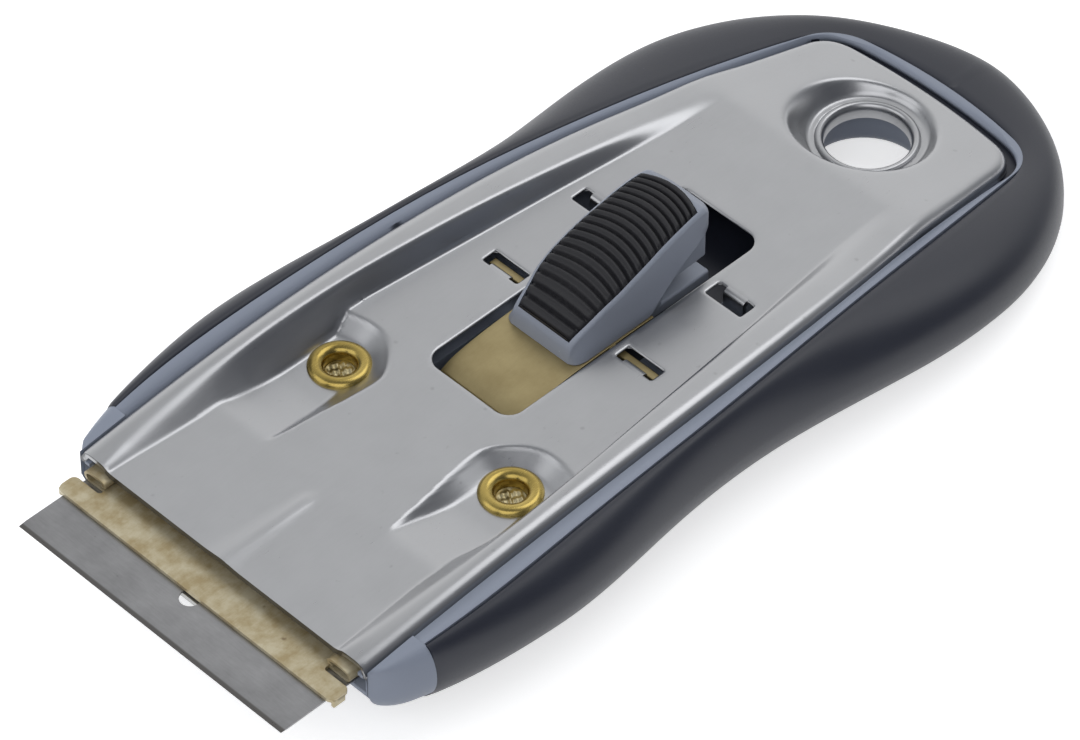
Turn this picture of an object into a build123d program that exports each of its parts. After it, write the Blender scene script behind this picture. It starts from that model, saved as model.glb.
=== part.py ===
from build123d import *
import os

# A window scraper: a pressed steel plate riveted to a moulded handle, with a brass carrier that
# slides a 40 mm blade out of the front and back under the plate.
# All sizes are in millimetres. +X runs from the blade to the tail and +Z is up. The origin is on the
# surface that the scraper lies on, under the middle of its length with the blade out.

os.makedirs("parts", exist_ok=True)

# Overall sizes
overall_length = 128.7
handle_depth = 12.0
blade_reach = 10.3
overrun = 30.0

# Steel plate
tail_band = 11.7
plate_overhang = 1.7
sheet = 0.7
rear_corner_radius = 4.5
rear_bow = 1.0
recess_corner_radius = 2.0
shell_rise = 0.6
seat_depth = 0.9
seat_clearance = 0.1

# Thumb opening and the four slots with their bent tongues
opening_place = 35.1
opening_length_share = 0.359
opening_half_width = 6.4
opening_radius = 2.0
slot_inner = 7.5
slot_outer = 12.8
front_slot_place = 49.9
front_slot_length = 2.1
rear_slot_place = 63.4
rear_slot_length = 2.3
tongue_end_gap = 1.1
tongue_depth = 1.7

# Rivets and the teardrop pockets that they sit in
rivet_place = 29.0
rivet_spread = 13.0
rivet_shank_radius = 2.6
rivet_bore_radius = 1.85
rivet_bore_floor = -4.5
clinch_radius = 3.25
clinch_height = 0.65
clinch_round = 0.3
rivet_head_radius = 3.8
rivet_head_thickness = 0.8
pocket_radius = 5.7
pocket_depth = 1.6
pocket_tip_place = 15.0
pocket_tip_spread = 9.6
pocket_tip_radius = 0.5
pocket_ramp_length = 9.5

# Hanging hole: a dished steel ring over a tube of the handle's frame
hole_inset = 9.8
hole_radius = 4.85
hole_wall = 1.5
collar_thickness = 0.7
dish_top_radius = 8.9
dish_mouth_radius = 8.4
dish_floor_radius = 7.0
dish_mouth_depth = 1.2
dish_floor_depth = 4.8
ring_outer_radius = 6.5
ring_top_radius = 6.1
ring_inner_radius = 5.5
ring_height = 0.5
dish_clearance = 0.25
tube_radius = 6.5
tube_wall = 2.2
tube_flare = 2.0

# Moulded frame
rim_crest_place = 40.0
rim_crest_height = 2.5
rim_fall = 9.91
rim_tail = 2.5
rim_width = 2.15
rim_corner_radius = 6.0
rim_bow = 2.2
frame_thickness = 5.6
nose_length = 6.5
nose_round = 3.0
nose_set_in = 0.95
tray_depth = 3.5
tray_spare = 1.5
ledge = 1.3
ear_clearance = 0.35
ear_room_length = 16.5
ear_room_top = -1.4
well_place = 6.0
well_depth = 6.6
well_half_width = 7.5
keel_wall = 1.6
boss_radius = 4.6

# Grip
grip_bulge = 4.3
girth_place = 30.8
girth_height = -2.63
girth_fall = 7.36
nose_lift = 4.0
nose_lift_length = 37.0
ring_overlap = 1.5
form_overlap = 0.4
nose_ease = 1.0
head_room = 0.1

# Blade carrier
slide_travel = 13.0
strip = 0.5
carrier_height = -1.8
bar_front = 4.9
bar_back = 1.6
bar_overhang = 1.0
bar_corner_radius = 0.8
ear_fold = 0.5
ear_drop = 0.7
ear_inset = 0.4
neck_inset = 3.0
neck_length = 2.0
wing_overhang = 0.2
wing_length = 7.1
lip_height = 1.5
tail_half_width = 6.0
joggle_clearance = 0.4
joggle_length = 1.5
joggle_drop = 0.6

# Blade and its clamp
blade_width = 40.0
blade_depth = 19.0
blade_thickness = 0.25
blade_bevel = 1.0
blade_hole_radius = 1.2
blade_hole_inset = 5.9
blade_corner = 0.4
clamp_thickness = 0.6
clamp_inset = 0.5
clamp_front = 4.4
clamp_rear_inset = 0.7
clamp_tail_edge = 1.4
peg_radius = 1.1
peg_clearance = 0.1
clamp_rivet_clearance = 0.4
clamp_rivet_spread = 3.5
clamp_rivet_radius = 0.9
clamp_rivet_head_radius = 1.6
clamp_rivet_head = 0.35

# Spring leaf with its lock bar
hinge_place = 37.0
hinge_gap = 0.05
leaf_half_width = 5.7
leaf_top = -0.9
leaf_rise_place = 46.3
leaf_end_place = 57.5
lock_bar_place = 50.75
lock_bar_width = 1.0
lock_bar_drop = 1.3
lock_bar_reach = 12.6

# Thumb button, its pad and its clip
button_half_width = 5.5
button_front_place = 45.3
button_nose_height = 0.9
button_back_place = 68.2
stem_back_place = 59.7
foot_front_place = 57.7
foot_back_place = 67.5
foot_top = -1.1
foot_bottom = -2.6
skirt_front_height = 1.2
skirt_back_height = 1.6
cap_lip_height = 4.6
cap_back_round = 1.4
cap_length = 22.9
cap_height = 8.9
pad_half_width = 4.1
pad_thickness = 1.0
pad_lean = 0.45
pad_back_inset = 1.6
rib_count = 17
rib_groove = 0.5
rib_depth = 0.35
button_peg_place = 54.5
button_peg_radius = 1.3
button_peg_length = 1.4
clip_radius = 2.6
clip_thickness = 0.4
clip_notch_radius = 0.5
clip_notches = 6

# Shares of a length and of a half-width, from the front backwards
handle_shares = [(-0.03, 0.773), (0.02, 0.841), (0.1014, 0.943), (0.2027, 1.0), (0.3547, 0.943),
                 (0.4899, 0.918), (0.6081, 0.952), (0.7095, 0.983), (0.7939, 0.945), (0.8682, 0.821),
                 (0.9316, 0.611), (0.9806, 0.337), (1.0, 0.0)]
rim_shares = [(0.0, 0.945), (0.11, 1.0), (0.28, 0.99), (0.46, 0.948), (0.655, 0.855), (0.855, 0.732),
              (0.985, 0.63)]
plate_shares = [(0.0, 1.0), (0.3, 0.995), (0.487, 0.958), (0.675, 0.878), (0.84, 0.763), (0.99, 0.66)]
recess_shares = [(-0.02, 0.768), (0.19, 0.725), (0.272, 0.768), (0.35, 0.775), (0.487, 0.737),
                 (0.581, 0.664), (0.675, 0.604), (0.74, 0.581), (0.778, 0.622)]
button_top_shares = [(0.05, 0.15), (0.24, 0.59), (0.44, 0.84), (0.67, 0.96), (0.88, 1.0)]

# The handle's roundness as shares of its height, and the nose's lift as shares of its length
turn_in_share = 1.4
shoulder_share = 0.55
belly_share = 0.58
sole_ease_share = 0.7
nose_splay_share = 0.13
nose_arc_share = 0.29
nose_lift_shares = [-0.4, -0.1, 0.2, 0.5, 0.75, 1.0]

# Where the grip's cross-sections stand along its outline, and how far in the rim lies at each
station_shares = [0.0, 0.1, 0.19, 0.28, 0.38, 0.49, 0.6, 0.7, 0.79, 0.87, 0.94, 1.0]
rim_inset_shares = [0.02, 0.09, 0.15, 0.14, 0.12, 0.13, 0.2, 0.3, 0.33, 0.33, 0.33, 0.33]

front_x = blade_reach - overall_length / 2
handle_length = overall_length - blade_reach
blade_half = blade_width / 2
bar_half_width = blade_half + bar_overhang
wing_half_width = blade_half + wing_overhang
neck_half_width = blade_half - neck_inset
clamp_half_width = blade_half - clamp_inset
ear_room_half_width = bar_half_width + ear_clearance
plate_half_width = blade_half + plate_overhang
rim_half_width = plate_half_width + rim_width
handle_half_width = rim_half_width + grip_bulge
nose_side = rim_half_width - nose_set_in
plate_length = handle_length - tail_band
rim_length = plate_length + rim_tail
opening_length = opening_length_share * plate_length
hole_place = plate_length - hole_inset
tray_end_place = foot_back_place + slide_travel + tray_spare
tail_x = front_x + handle_length
floor_z = handle_depth


def behind(distance):
    """Return the x of a place that lies this far behind the plate's front edge."""
    return front_x + distance


def above(height):
    """Return the z of a height above the plate's sunk floor, which is negative below it."""
    return floor_z + height


def rim_z(x):
    """Return the height of the rim that the plate's edge lies in."""
    share = (x - behind(rim_crest_place)) / (handle_length - rim_crest_place)
    return above(rim_crest_height) - rim_fall * share ** 2


def girth_z(x):
    """Return the height at which the handle is widest."""
    share = (x - behind(girth_place)) / (handle_length - girth_place)
    return above(girth_height) - girth_fall * share ** 2


def sole_z(x):
    """Return the height of the underside, which lifts towards the nose."""
    ahead = max(0.0, behind(nose_lift_length) - x)
    return nose_lift * (ahead / nose_lift_length) ** 2


def places(shares, length, half_width):
    """Return plan points from shares of a length and a half-width."""
    return [(behind(along * length), across * half_width) for along, across in shares]


def mirrored(points):
    """Return plan points mirrored across the centreline."""
    return [(x, -y) for x, y in points]


def widened(points, amount):
    """Return side points moved out by an amount, which is negative inwards, also at both ends."""
    ahead = (points[0][0] - amount, points[0][1] + amount)
    after = (points[-1][0] + amount, points[-1][1] + amount)
    return [ahead] + [(x, y + amount) for x, y in points[1:-1]] + [after]


def rim_line(drop):
    """Return three side-view points on the rim's top line, lowered by a drop."""
    return [(x, rim_z(x) - drop) for x in (front_x - overrun, 0, tail_x + sheet)]


def closed_plan(points, back_bow, corner_radius):
    """Draw a plan outline from its side points, with a bowed back and rounded rear corners."""
    with BuildLine() as outline:
        Spline(*points)
        Spline(*mirrored(points))
        ThreePointArc(points[-1], (points[-1][0] + back_bow, 0), mirrored(points)[-1])
        Line(points[0], mirrored(points)[0])
    make_face(outline.edges())
    fillet([v for v in vertices() if v.X > points[-1][0] - seat_clearance], corner_radius)


plate_points = places(plate_shares, plate_length, plate_half_width)
recess_points = places(recess_shares, plate_length, plate_half_width)
rim_points = places(rim_shares, rim_length, rim_half_width)
handle_points = places(handle_shares, handle_length, handle_half_width)
rivet_spots = [(behind(rivet_place), rivet_spread), (behind(rivet_place), -rivet_spread)]
pocket_floor = -pocket_depth
slot_spread = (slot_inner + slot_outer) / 2
hole_x = behind(hole_place)
dish_seat = -dish_floor_depth - sheet - dish_clearance

# Plan outlines that several pieces share
with BuildSketch() as plate_plan:
    closed_plan(plate_points, rear_bow, rear_corner_radius)

with BuildSketch() as plate_inner_plan:
    closed_plan(widened(plate_points, -sheet), rear_bow, rear_corner_radius - sheet)

with BuildSketch() as plate_seat_plan:
    closed_plan(widened(plate_points, seat_clearance), rear_bow, rear_corner_radius + seat_clearance)

with BuildSketch() as tray_plan:
    closed_plan(widened(plate_points, -ledge), rear_bow, rear_corner_radius - ledge)

with BuildSketch() as recess_plan:
    closed_plan(recess_points, rear_bow, recess_corner_radius)

with BuildSketch() as recess_wall_plan:
    closed_plan(widened(recess_points, sheet), rear_bow, recess_corner_radius + sheet)

with BuildSketch() as rim_plan:
    closed_plan(rim_points, rim_bow, rim_corner_radius)

# The plate is an arched shell, parallel to the rim, and this is the space under its top
with BuildPart() as under_shell:
    with BuildSketch(Plane.XZ):
        with BuildLine():
            crest = rim_line(-shell_rise)
            ThreePointArc(*crest)
            Polyline(crest[0], (crest[0][0], -overrun), (crest[2][0], -overrun), crest[2])
        make_face()
    extrude(amount=handle_half_width, both=True)

# Sunk floor with the inner walls of the two side beads
with BuildPart() as floor_tub:
    with BuildSketch(Plane.XY.offset(above(-sheet))):
        add(recess_wall_plan.sketch)
    extrude(amount=overrun)
    with BuildSketch(Plane.XY.offset(above(0))):
        add(recess_plan.sketch)
    extrude(amount=overrun, mode=Mode.SUBTRACT)
    add(under_shell.part, mode=Mode.INTERSECT)
    with BuildSketch():
        add(plate_plan.sketch)
    extrude(amount=overrun, mode=Mode.INTERSECT)

# Edge turned down all round into the handle's rim
with BuildPart() as edge_skirt:
    with BuildSketch():
        add(plate_plan.sketch)
        add(plate_inner_plan.sketch, mode=Mode.SUBTRACT)
        with Locations((front_x, 0)):
            Rectangle(2 * sheet, 2 * plate_half_width - 2 * sheet, mode=Mode.SUBTRACT)
    extrude(amount=overrun)
    add(under_shell.part, mode=Mode.INTERSECT)
    with BuildSketch(Plane.XZ):
        with BuildLine():
            low = rim_line(seat_depth)
            ThreePointArc(*low)
            Polyline(low[0], (low[0][0], -overrun), (low[2][0], -overrun), low[2])
        make_face()
    extrude(amount=handle_half_width, both=True, mode=Mode.SUBTRACT)

# Teardrop pockets: the room inside each, and the bowl of sheet around it
with BuildPart() as pocket_rooms:
    with BuildSketch(Plane.XY.offset(above(-overrun))):
        with Locations(rivet_spots[0]):
            Circle(pocket_radius)
        with Locations((behind(pocket_tip_place), pocket_tip_spread)):
            Circle(pocket_tip_radius)
        make_hull()
    extrude(amount=2 * overrun)
    with BuildSketch(Plane.XZ):
        with BuildLine():
            Polyline((behind(pocket_tip_place) - pocket_tip_radius, above(0)),
                     (behind(pocket_tip_place + pocket_ramp_length), above(pocket_floor)),
                     (behind(rivet_place + 2 * pocket_radius), above(pocket_floor)),
                     (behind(rivet_place + 2 * pocket_radius), above(sheet)),
                     (behind(pocket_tip_place) - pocket_tip_radius, above(sheet)), close=True)
        make_face()
    extrude(amount=overrun, both=True, mode=Mode.INTERSECT)
    with BuildSketch(Plane.XY.offset(above(-overrun))):
        add(recess_plan.sketch)
    extrude(amount=2 * overrun, mode=Mode.INTERSECT)
    mirror(about=Plane.XZ)

with BuildPart() as pocket_bowls:
    with BuildSketch(Plane.XY.offset(above(-overrun))):
        with Locations(rivet_spots[0]):
            Circle(pocket_radius + sheet)
        with Locations((behind(pocket_tip_place), pocket_tip_spread)):
            Circle(pocket_tip_radius + sheet)
        make_hull()
    extrude(amount=2 * overrun)
    with BuildSketch(Plane.XZ):
        with BuildLine():
            Polyline((behind(pocket_tip_place) - pocket_tip_radius - sheet, above(-sheet)),
                     (behind(pocket_tip_place + pocket_ramp_length), above(pocket_floor - sheet)),
                     (behind(rivet_place + 2 * pocket_radius), above(pocket_floor - sheet)),
                     (behind(rivet_place + 2 * pocket_radius), above(0)),
                     (behind(pocket_tip_place) - pocket_tip_radius - sheet, above(0)), close=True)
        make_face()
    extrude(amount=overrun, both=True, mode=Mode.INTERSECT)
    with BuildSketch(Plane.XY.offset(above(-overrun))):
        add(recess_wall_plan.sketch)
    extrude(amount=2 * overrun, mode=Mode.INTERSECT)
    mirror(about=Plane.XZ)

# Dish round the hanging hole: the room above its steel, and the steel itself before that is cut
with BuildPart() as dish_room:
    with BuildSketch(Plane.XZ.shift_origin((hole_x, 0, 0))):
        with BuildLine():
            Polyline((0, above(dish_mouth_depth)), (dish_top_radius, above(dish_mouth_depth)),
                     (dish_mouth_radius, above(-dish_mouth_depth)),
                     (dish_floor_radius, above(-dish_floor_depth)),
                     (ring_outer_radius, above(-dish_floor_depth)),
                     (ring_top_radius, above(ring_height - dish_floor_depth)),
                     (ring_inner_radius, above(ring_height - dish_floor_depth)),
                     (hole_radius, above(-dish_floor_depth)), (hole_radius, 0), (0, 0), close=True)
        make_face()
    revolve(axis=Axis((hole_x, 0, 0), (0, 0, 1)))

with BuildPart() as dish_steel:
    with BuildSketch(Plane.XZ.shift_origin((hole_x, 0, 0))):
        with BuildLine():
            Polyline((0, above(0)), (dish_top_radius, above(0)),
                     (dish_mouth_radius + sheet, above(-dish_mouth_depth)),
                     (dish_floor_radius + sheet, above(-dish_floor_depth - sheet)),
                     (hole_radius + collar_thickness, above(-dish_floor_depth - sheet)),
                     (hole_radius + collar_thickness, above(-dish_floor_depth - hole_wall)),
                     (0, above(-dish_floor_depth - hole_wall)), close=True)
        make_face()
    revolve(axis=Axis((hole_x, 0, 0), (0, 0, 1)))
    add(under_shell.part, mode=Mode.INTERSECT)

# Steel top plate
with BuildPart() as top_plate:
    add(under_shell.part)
    with BuildSketch(Plane.XZ):
        with BuildLine():
            low = rim_line(sheet - shell_rise)
            ThreePointArc(*low)
            Polyline(low[0], (low[0][0], -2 * overrun), (low[2][0], -2 * overrun), low[2])
        make_face()
    extrude(amount=2 * handle_half_width, both=True, mode=Mode.SUBTRACT)
    with BuildSketch():
        add(plate_plan.sketch)
    extrude(amount=overrun, mode=Mode.INTERSECT)
    with BuildSketch():
        add(recess_wall_plan.sketch)
    extrude(amount=overrun, mode=Mode.SUBTRACT)
    add(floor_tub.part)
    add(edge_skirt.part)
    add(pocket_bowls.part)
    add(pocket_rooms.part, mode=Mode.SUBTRACT)
    add(dish_steel.part)
    add(dish_room.part, mode=Mode.SUBTRACT)
    with BuildSketch():
        with Locations((behind(opening_place + opening_length / 2), 0)):
            RectangleRounded(opening_length, 2 * opening_half_width, opening_radius)
        for slot_y in (slot_spread, -slot_spread):
            with Locations((behind(front_slot_place + front_slot_length / 2), slot_y)):
                Rectangle(front_slot_length, slot_outer - slot_inner)
            with Locations((behind(rear_slot_place + rear_slot_length / 2), slot_y)):
                Rectangle(rear_slot_length, slot_outer - slot_inner)
        with Locations(*rivet_spots):
            Circle(rivet_shank_radius)
    extrude(amount=overrun, mode=Mode.SUBTRACT)
    for slot_y in (slot_spread, -slot_spread):
        for place in (front_slot_place, rear_slot_place + rear_slot_length - sheet):
            with Locations((behind(place), slot_y, above(0))):
                Box(sheet, slot_outer - slot_inner - 2 * tongue_end_gap, sheet + tongue_depth,
                    align=(Align.MIN, Align.CENTER, Align.MAX))
top_plate.part.label = "top_plate"
export_step(top_plate.part, "parts/top_plate.step")

# Outer form of the handle: cross-sections that follow its outline from the nose round to the tail.
# They reach past the rim and the sole, where the form is then cut to height.
with BuildLine() as handle_side:
    Spline(*handle_points, tangents=((1, nose_splay_share), (0, -1)))

stations = []
for share, inset_share in zip(station_shares, rim_inset_shares):
    spot = handle_side.line @ share
    forward = handle_side.line % share
    outward = Vector(-forward.Y, forward.X, 0)
    inset = inset_share * handle_half_width + form_overlap
    top_z = rim_z(spot.X - outward.X * inset) + form_overlap
    middle_z = girth_z(spot.X)
    low_z = sole_z(spot.X) - form_overlap
    stations.append((spot, forward, outward, inset, top_z, middle_z, low_z))

with BuildPart() as side_form:
    for spot, forward, outward, inset, top_z, middle_z, low_z in stations:
        drop = middle_z - low_z
        turn_in = turn_in_share * drop
        inner = max(turn_in, inset) + ring_overlap
        with BuildSketch(Plane(origin=spot, x_dir=outward, z_dir=forward)):
            with BuildLine():
                Bezier((-inset, top_z), (-inset / 2, top_z),
                       (0, middle_z + shoulder_share * (top_z - middle_z)), (0, middle_z))
                Bezier((0, middle_z), (0, middle_z - belly_share * drop),
                       (-sole_ease_share * turn_in, low_z), (-turn_in, low_z))
                Polyline((-turn_in, low_z), (-inner, low_z), (-inner, top_z), (-inset, top_z))
            make_face()
    loft()
    mirror(about=Plane.XZ)

fill_points = [spot - outward * (max(turn_in_share * (middle_z - low_z), inset) + ring_overlap / 2)
               for spot, forward, outward, inset, top_z, middle_z, low_z in stations]
fill_line = [(front_x - overrun, fill_points[0].Y)] + [(point.X, point.Y) for point in fill_points]

# Space above the rim's top line
with BuildPart() as above_rim:
    with BuildSketch(Plane.XZ):
        with BuildLine():
            top = rim_line(0)
            ThreePointArc(*top)
            Polyline(top[0], (top[0][0], above(overrun)), (top[2][0], above(overrun)), top[2])
        make_face()
    extrude(amount=overrun, both=True)

# Space under the sole, which lifts in a gentle bow under the nose
with BuildPart() as under_sole:
    with BuildSketch(Plane.XZ):
        with BuildLine():
            lift = [(behind(share * nose_lift_length), sole_z(behind(share * nose_lift_length)))
                    for share in nose_lift_shares]
            Spline(*lift)
            Polyline(lift[-1], (tail_x + sheet, 0), (tail_x + sheet, -overrun),
                     (lift[0][0], -overrun), lift[0])
        make_face()
    extrude(amount=overrun, both=True)

# The whole handle as one body, which is then shared out between the frame and the grip
with BuildPart() as body_form:
    add(side_form.part)
    with BuildSketch(Plane.XY.offset(-nose_lift)):
        with BuildLine():
            Polyline(*fill_line, *mirrored(reversed(fill_line[:-1])), close=True)
        make_face()
    extrude(amount=overrun)
    add(above_rim.part, mode=Mode.SUBTRACT)
    add(under_sole.part, mode=Mode.SUBTRACT)
    with Locations((front_x, 0, -nose_lift)):
        Box(2 * overrun, 2 * overrun, 2 * overrun, align=(Align.MAX, Align.CENTER, Align.MIN),
            mode=Mode.SUBTRACT)
    with BuildSketch(Plane.XY.offset(-nose_lift)):
        with BuildLine():
            ThreePointArc((front_x - nose_ease, nose_side - nose_round),
                          (front_x + nose_arc_share * nose_round, nose_side - nose_arc_share * nose_round),
                          (front_x + nose_round, nose_side + nose_ease))
            Polyline((front_x + nose_round, nose_side + nose_ease),
                     (front_x - nose_ease, nose_side + nose_ease),
                     (front_x - nose_ease, nose_side - nose_round))
        make_face()
        mirror(about=Plane.XZ)
    extrude(amount=overrun, mode=Mode.SUBTRACT)

# What the frame takes up of the handle
with BuildPart() as frame_zone:
    with BuildSketch(Plane.XY.offset(above(-frame_thickness))):
        add(rim_plan.sketch)
    extrude(amount=overrun)
    with Locations((behind(well_place) - keel_wall, 0, above(-frame_thickness))):
        Box(tray_end_place - well_place + 2 * keel_wall, 2 * (well_half_width + keel_wall),
            well_depth + keel_wall - frame_thickness, align=(Align.MIN, Align.CENTER, Align.MAX))
    with Locations((hole_x, 0, 0)):
        Cylinder(tube_radius + tube_wall, above(-frame_thickness),
                 align=(Align.CENTER, Align.CENTER, Align.MIN))
    with Locations((front_x - overrun, 0, -nose_lift)):
        Box(overrun + nose_length, 2 * overrun, 2 * overrun, align=(Align.MIN, Align.CENTER, Align.MIN))

# Black grip
with BuildPart() as grip:
    add(body_form.part)
    add(frame_zone.part, mode=Mode.SUBTRACT)
    with BuildSketch(Plane.XY.offset(above(-frame_thickness - rivet_head_thickness - head_room))):
        with Locations(*rivet_spots):
            Circle(rivet_head_radius + head_room)
    extrude(amount=rivet_head_thickness + 2 * head_room, mode=Mode.SUBTRACT)
grip.part.label = "grip"
export_step(grip.part, "parts/grip.step")

# Grey frame, with its noses, the plate's seat, the tray, the well under the button and the tube
with BuildPart() as handle_frame:
    add(body_form.part)
    add(frame_zone.part, mode=Mode.INTERSECT)
    with BuildSketch(Plane.XY.offset(above(-overrun))):
        add(plate_seat_plan.sketch)
    seat = extrude(amount=2 * overrun, mode=Mode.PRIVATE)
    with BuildSketch(Plane.XZ, mode=Mode.PRIVATE) as seat_side:
        with BuildLine():
            low = rim_line(seat_depth)
            ThreePointArc(*low)
            Polyline(low[0], (low[0][0], above(overrun)), (low[2][0], above(overrun)), low[2])
        make_face()
    seat_space = extrude(seat_side.sketch, amount=handle_half_width, both=True, mode=Mode.PRIVATE)
    add(seat & seat_space, mode=Mode.SUBTRACT)
    with BuildSketch(Plane.XY.offset(above(-tray_depth))):
        add(tray_plan.sketch)
        with Locations((behind(tray_end_place), 0)):
            Rectangle(overrun, 2 * handle_half_width, align=(Align.MIN, Align.CENTER), mode=Mode.SUBTRACT)
        with Locations((front_x - overrun, 0)):
            Rectangle(overrun + ledge + sheet, 2 * (plate_half_width - ledge),
                      align=(Align.MIN, Align.CENTER))
    extrude(amount=overrun, mode=Mode.SUBTRACT)
    with Locations((front_x - overrun, 0, above(-tray_depth))):
        Box(overrun + ear_room_length, 2 * ear_room_half_width, tray_depth + ear_room_top,
            align=(Align.MIN, Align.CENTER, Align.MIN), mode=Mode.SUBTRACT)
    with Locations((behind(well_place), 0, above(-well_depth))):
        Box(tray_end_place - well_place, 2 * well_half_width, overrun,
            align=(Align.MIN, Align.CENTER, Align.MIN), mode=Mode.SUBTRACT)
    with BuildSketch(Plane.XY.offset(above(-tray_depth))):
        with Locations(*rivet_spots):
            Circle(boss_radius)
    extrude(amount=tray_depth - pocket_depth - sheet)
    with BuildSketch():
        with Locations(*rivet_spots):
            Circle(rivet_shank_radius)
    extrude(amount=overrun, mode=Mode.SUBTRACT)
    with BuildSketch(Plane.XZ.shift_origin((hole_x, 0, 0))):
        with BuildLine():
            Polyline((0, above(overrun)), (dish_top_radius + sheet, above(overrun)),
                     (dish_top_radius + sheet, above(0)),
                     (dish_mouth_radius + sheet + dish_clearance, above(-dish_mouth_depth)),
                     (dish_floor_radius + sheet + dish_clearance, above(dish_seat)),
                     (tube_radius, above(dish_seat)), (tube_radius, tube_flare))
            RadiusArc((tube_radius, tube_flare), (tube_radius + tube_flare, 0), -tube_flare)
            Polyline((tube_radius + tube_flare, 0), (0, 0), (0, above(overrun)))
        make_face()
    revolve(axis=Axis((hole_x, 0, 0), (0, 0, 1)), mode=Mode.SUBTRACT)
handle_frame.part.label = "handle_frame"
export_step(handle_frame.part, "parts/handle_frame.step")

# Two tubular rivets through the plate and the frame
for name, side in (("left_rivet", 1), ("right_rivet", -1)):
    with BuildPart() as rivet:
        with BuildSketch(Plane.XZ.shift_origin((behind(rivet_place), 0, 0))):
            with BuildLine():
                Polyline((0, above(-frame_thickness - rivet_head_thickness)),
                         (rivet_head_radius, above(-frame_thickness - rivet_head_thickness)),
                         (rivet_head_radius, above(-frame_thickness)),
                         (rivet_shank_radius, above(-frame_thickness)),
                         (rivet_shank_radius, above(pocket_floor)), (clinch_radius, above(pocket_floor)),
                         (clinch_radius, above(pocket_floor + clinch_height - clinch_round)),
                         (clinch_radius - clinch_round, above(pocket_floor + clinch_height)),
                         (rivet_bore_radius + clinch_round, above(pocket_floor + clinch_height)),
                         (rivet_bore_radius, above(pocket_floor + clinch_height - clinch_round)),
                         (rivet_bore_radius, above(rivet_bore_floor)), (0, above(rivet_bore_floor)),
                         close=True)
            make_face()
        revolve(axis=Axis((behind(rivet_place), 0, 0), (0, 0, 1)))
    rivet_part = rivet.part.moved(Location((0, side * rivet_spread, 0)))
    rivet_part.label = name
    export_step(rivet_part, f"parts/{name}.step")

# Brass carrier: the bar over the blade, the wings with their lips, and the tail that ends at the bend
carrier_bottom = carrier_height - strip
bar_length = bar_front - bar_back
neck_back = neck_length - bar_back
blade_back = blade_depth - blade_reach
rear_hole_place = blade_back - blade_hole_inset
tail_end_place = hinge_place - strip / 2 - hinge_gap
clamp_rivet_place = blade_back + clamp_rivet_radius + clamp_rivet_clearance
joggle_place = clamp_rivet_place + clamp_rivet_head_radius + joggle_clearance
clamp_rivet_spots = [(behind(clamp_rivet_place), clamp_rivet_spread),
                     (behind(clamp_rivet_place), -clamp_rivet_spread)]

with BuildPart() as blade_carrier:
    with BuildSketch(Plane.XY.offset(above(carrier_bottom))):
        with Locations((behind(-bar_front), 0)):
            Rectangle(bar_length, 2 * bar_half_width, align=(Align.MIN, Align.CENTER))
        fillet(vertices(), bar_corner_radius)
        with Locations((behind(-bar_back) - bar_corner_radius, 0)):
            Rectangle(neck_length + 2 * bar_corner_radius, 2 * neck_half_width,
                      align=(Align.MIN, Align.CENTER))
        with Locations((behind(neck_back), 0)):
            Rectangle(wing_length, 2 * wing_half_width, align=(Align.MIN, Align.CENTER))
    extrude(amount=strip)
    for side in (1, -1):
        with Locations((behind(ear_inset + bar_corner_radius - bar_front),
                        side * (bar_half_width - ear_fold / 2), above(carrier_bottom))):
            Box(bar_length - 2 * (ear_inset + bar_corner_radius), ear_fold, ear_drop,
                align=(Align.MIN, Align.CENTER, Align.MAX))
        with Locations((behind(neck_back), side * (wing_half_width - strip / 2), above(carrier_height))):
            Box(wing_length, strip, lip_height, align=(Align.MIN, Align.CENTER, Align.MIN))
    with BuildSketch(Plane.XZ):
        with BuildLine():
            Polyline((behind(neck_back), above(carrier_height)),
                     (behind(joggle_place), above(carrier_height)),
                     (behind(joggle_place + joggle_length), above(carrier_height - joggle_drop)),
                     (behind(tail_end_place), above(carrier_height - joggle_drop)),
                     (behind(tail_end_place), above(carrier_bottom - joggle_drop)),
                     (behind(joggle_place + joggle_length), above(carrier_bottom - joggle_drop)),
                     (behind(joggle_place), above(carrier_bottom)),
                     (behind(neck_back), above(carrier_bottom)), close=True)
        make_face()
    extrude(amount=tail_half_width, both=True)
    with BuildSketch(Plane.XY.offset(above(carrier_bottom - joggle_drop))):
        with Locations((behind(rear_hole_place), 0)):
            Circle(peg_radius + peg_clearance)
        with Locations(*clamp_rivet_spots):
            Circle(clamp_rivet_radius)
    extrude(amount=strip + joggle_drop, mode=Mode.SUBTRACT)
blade_carrier.part.label = "blade_carrier"
export_step(blade_carrier.part, "parts/blade_carrier.step")

# Blade with one ground edge and two holes on its centreline
blade_top = carrier_bottom
with BuildPart() as blade:
    with BuildSketch(Plane.XZ):
        with BuildLine():
            Polyline((-overall_length / 2, above(blade_top - blade_thickness / 2)),
                     (behind(blade_bevel - blade_reach), above(blade_top)),
                     (behind(blade_back), above(blade_top)),
                     (behind(blade_back), above(blade_top - blade_thickness)),
                     (behind(blade_bevel - blade_reach), above(blade_top - blade_thickness)), close=True)
        make_face()
    extrude(amount=blade_width / 2, both=True)
    with BuildSketch():
        with Locations((behind(blade_hole_inset - blade_reach), 0), (behind(rear_hole_place), 0)):
            Circle(blade_hole_radius)
    extrude(amount=overrun, mode=Mode.SUBTRACT)
    chamfer(edges().filter_by(Axis.Z).group_by(Axis.X)[-1], blade_corner)
blade.part.label = "blade"
export_step(blade.part, "parts/blade.step")

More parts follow.
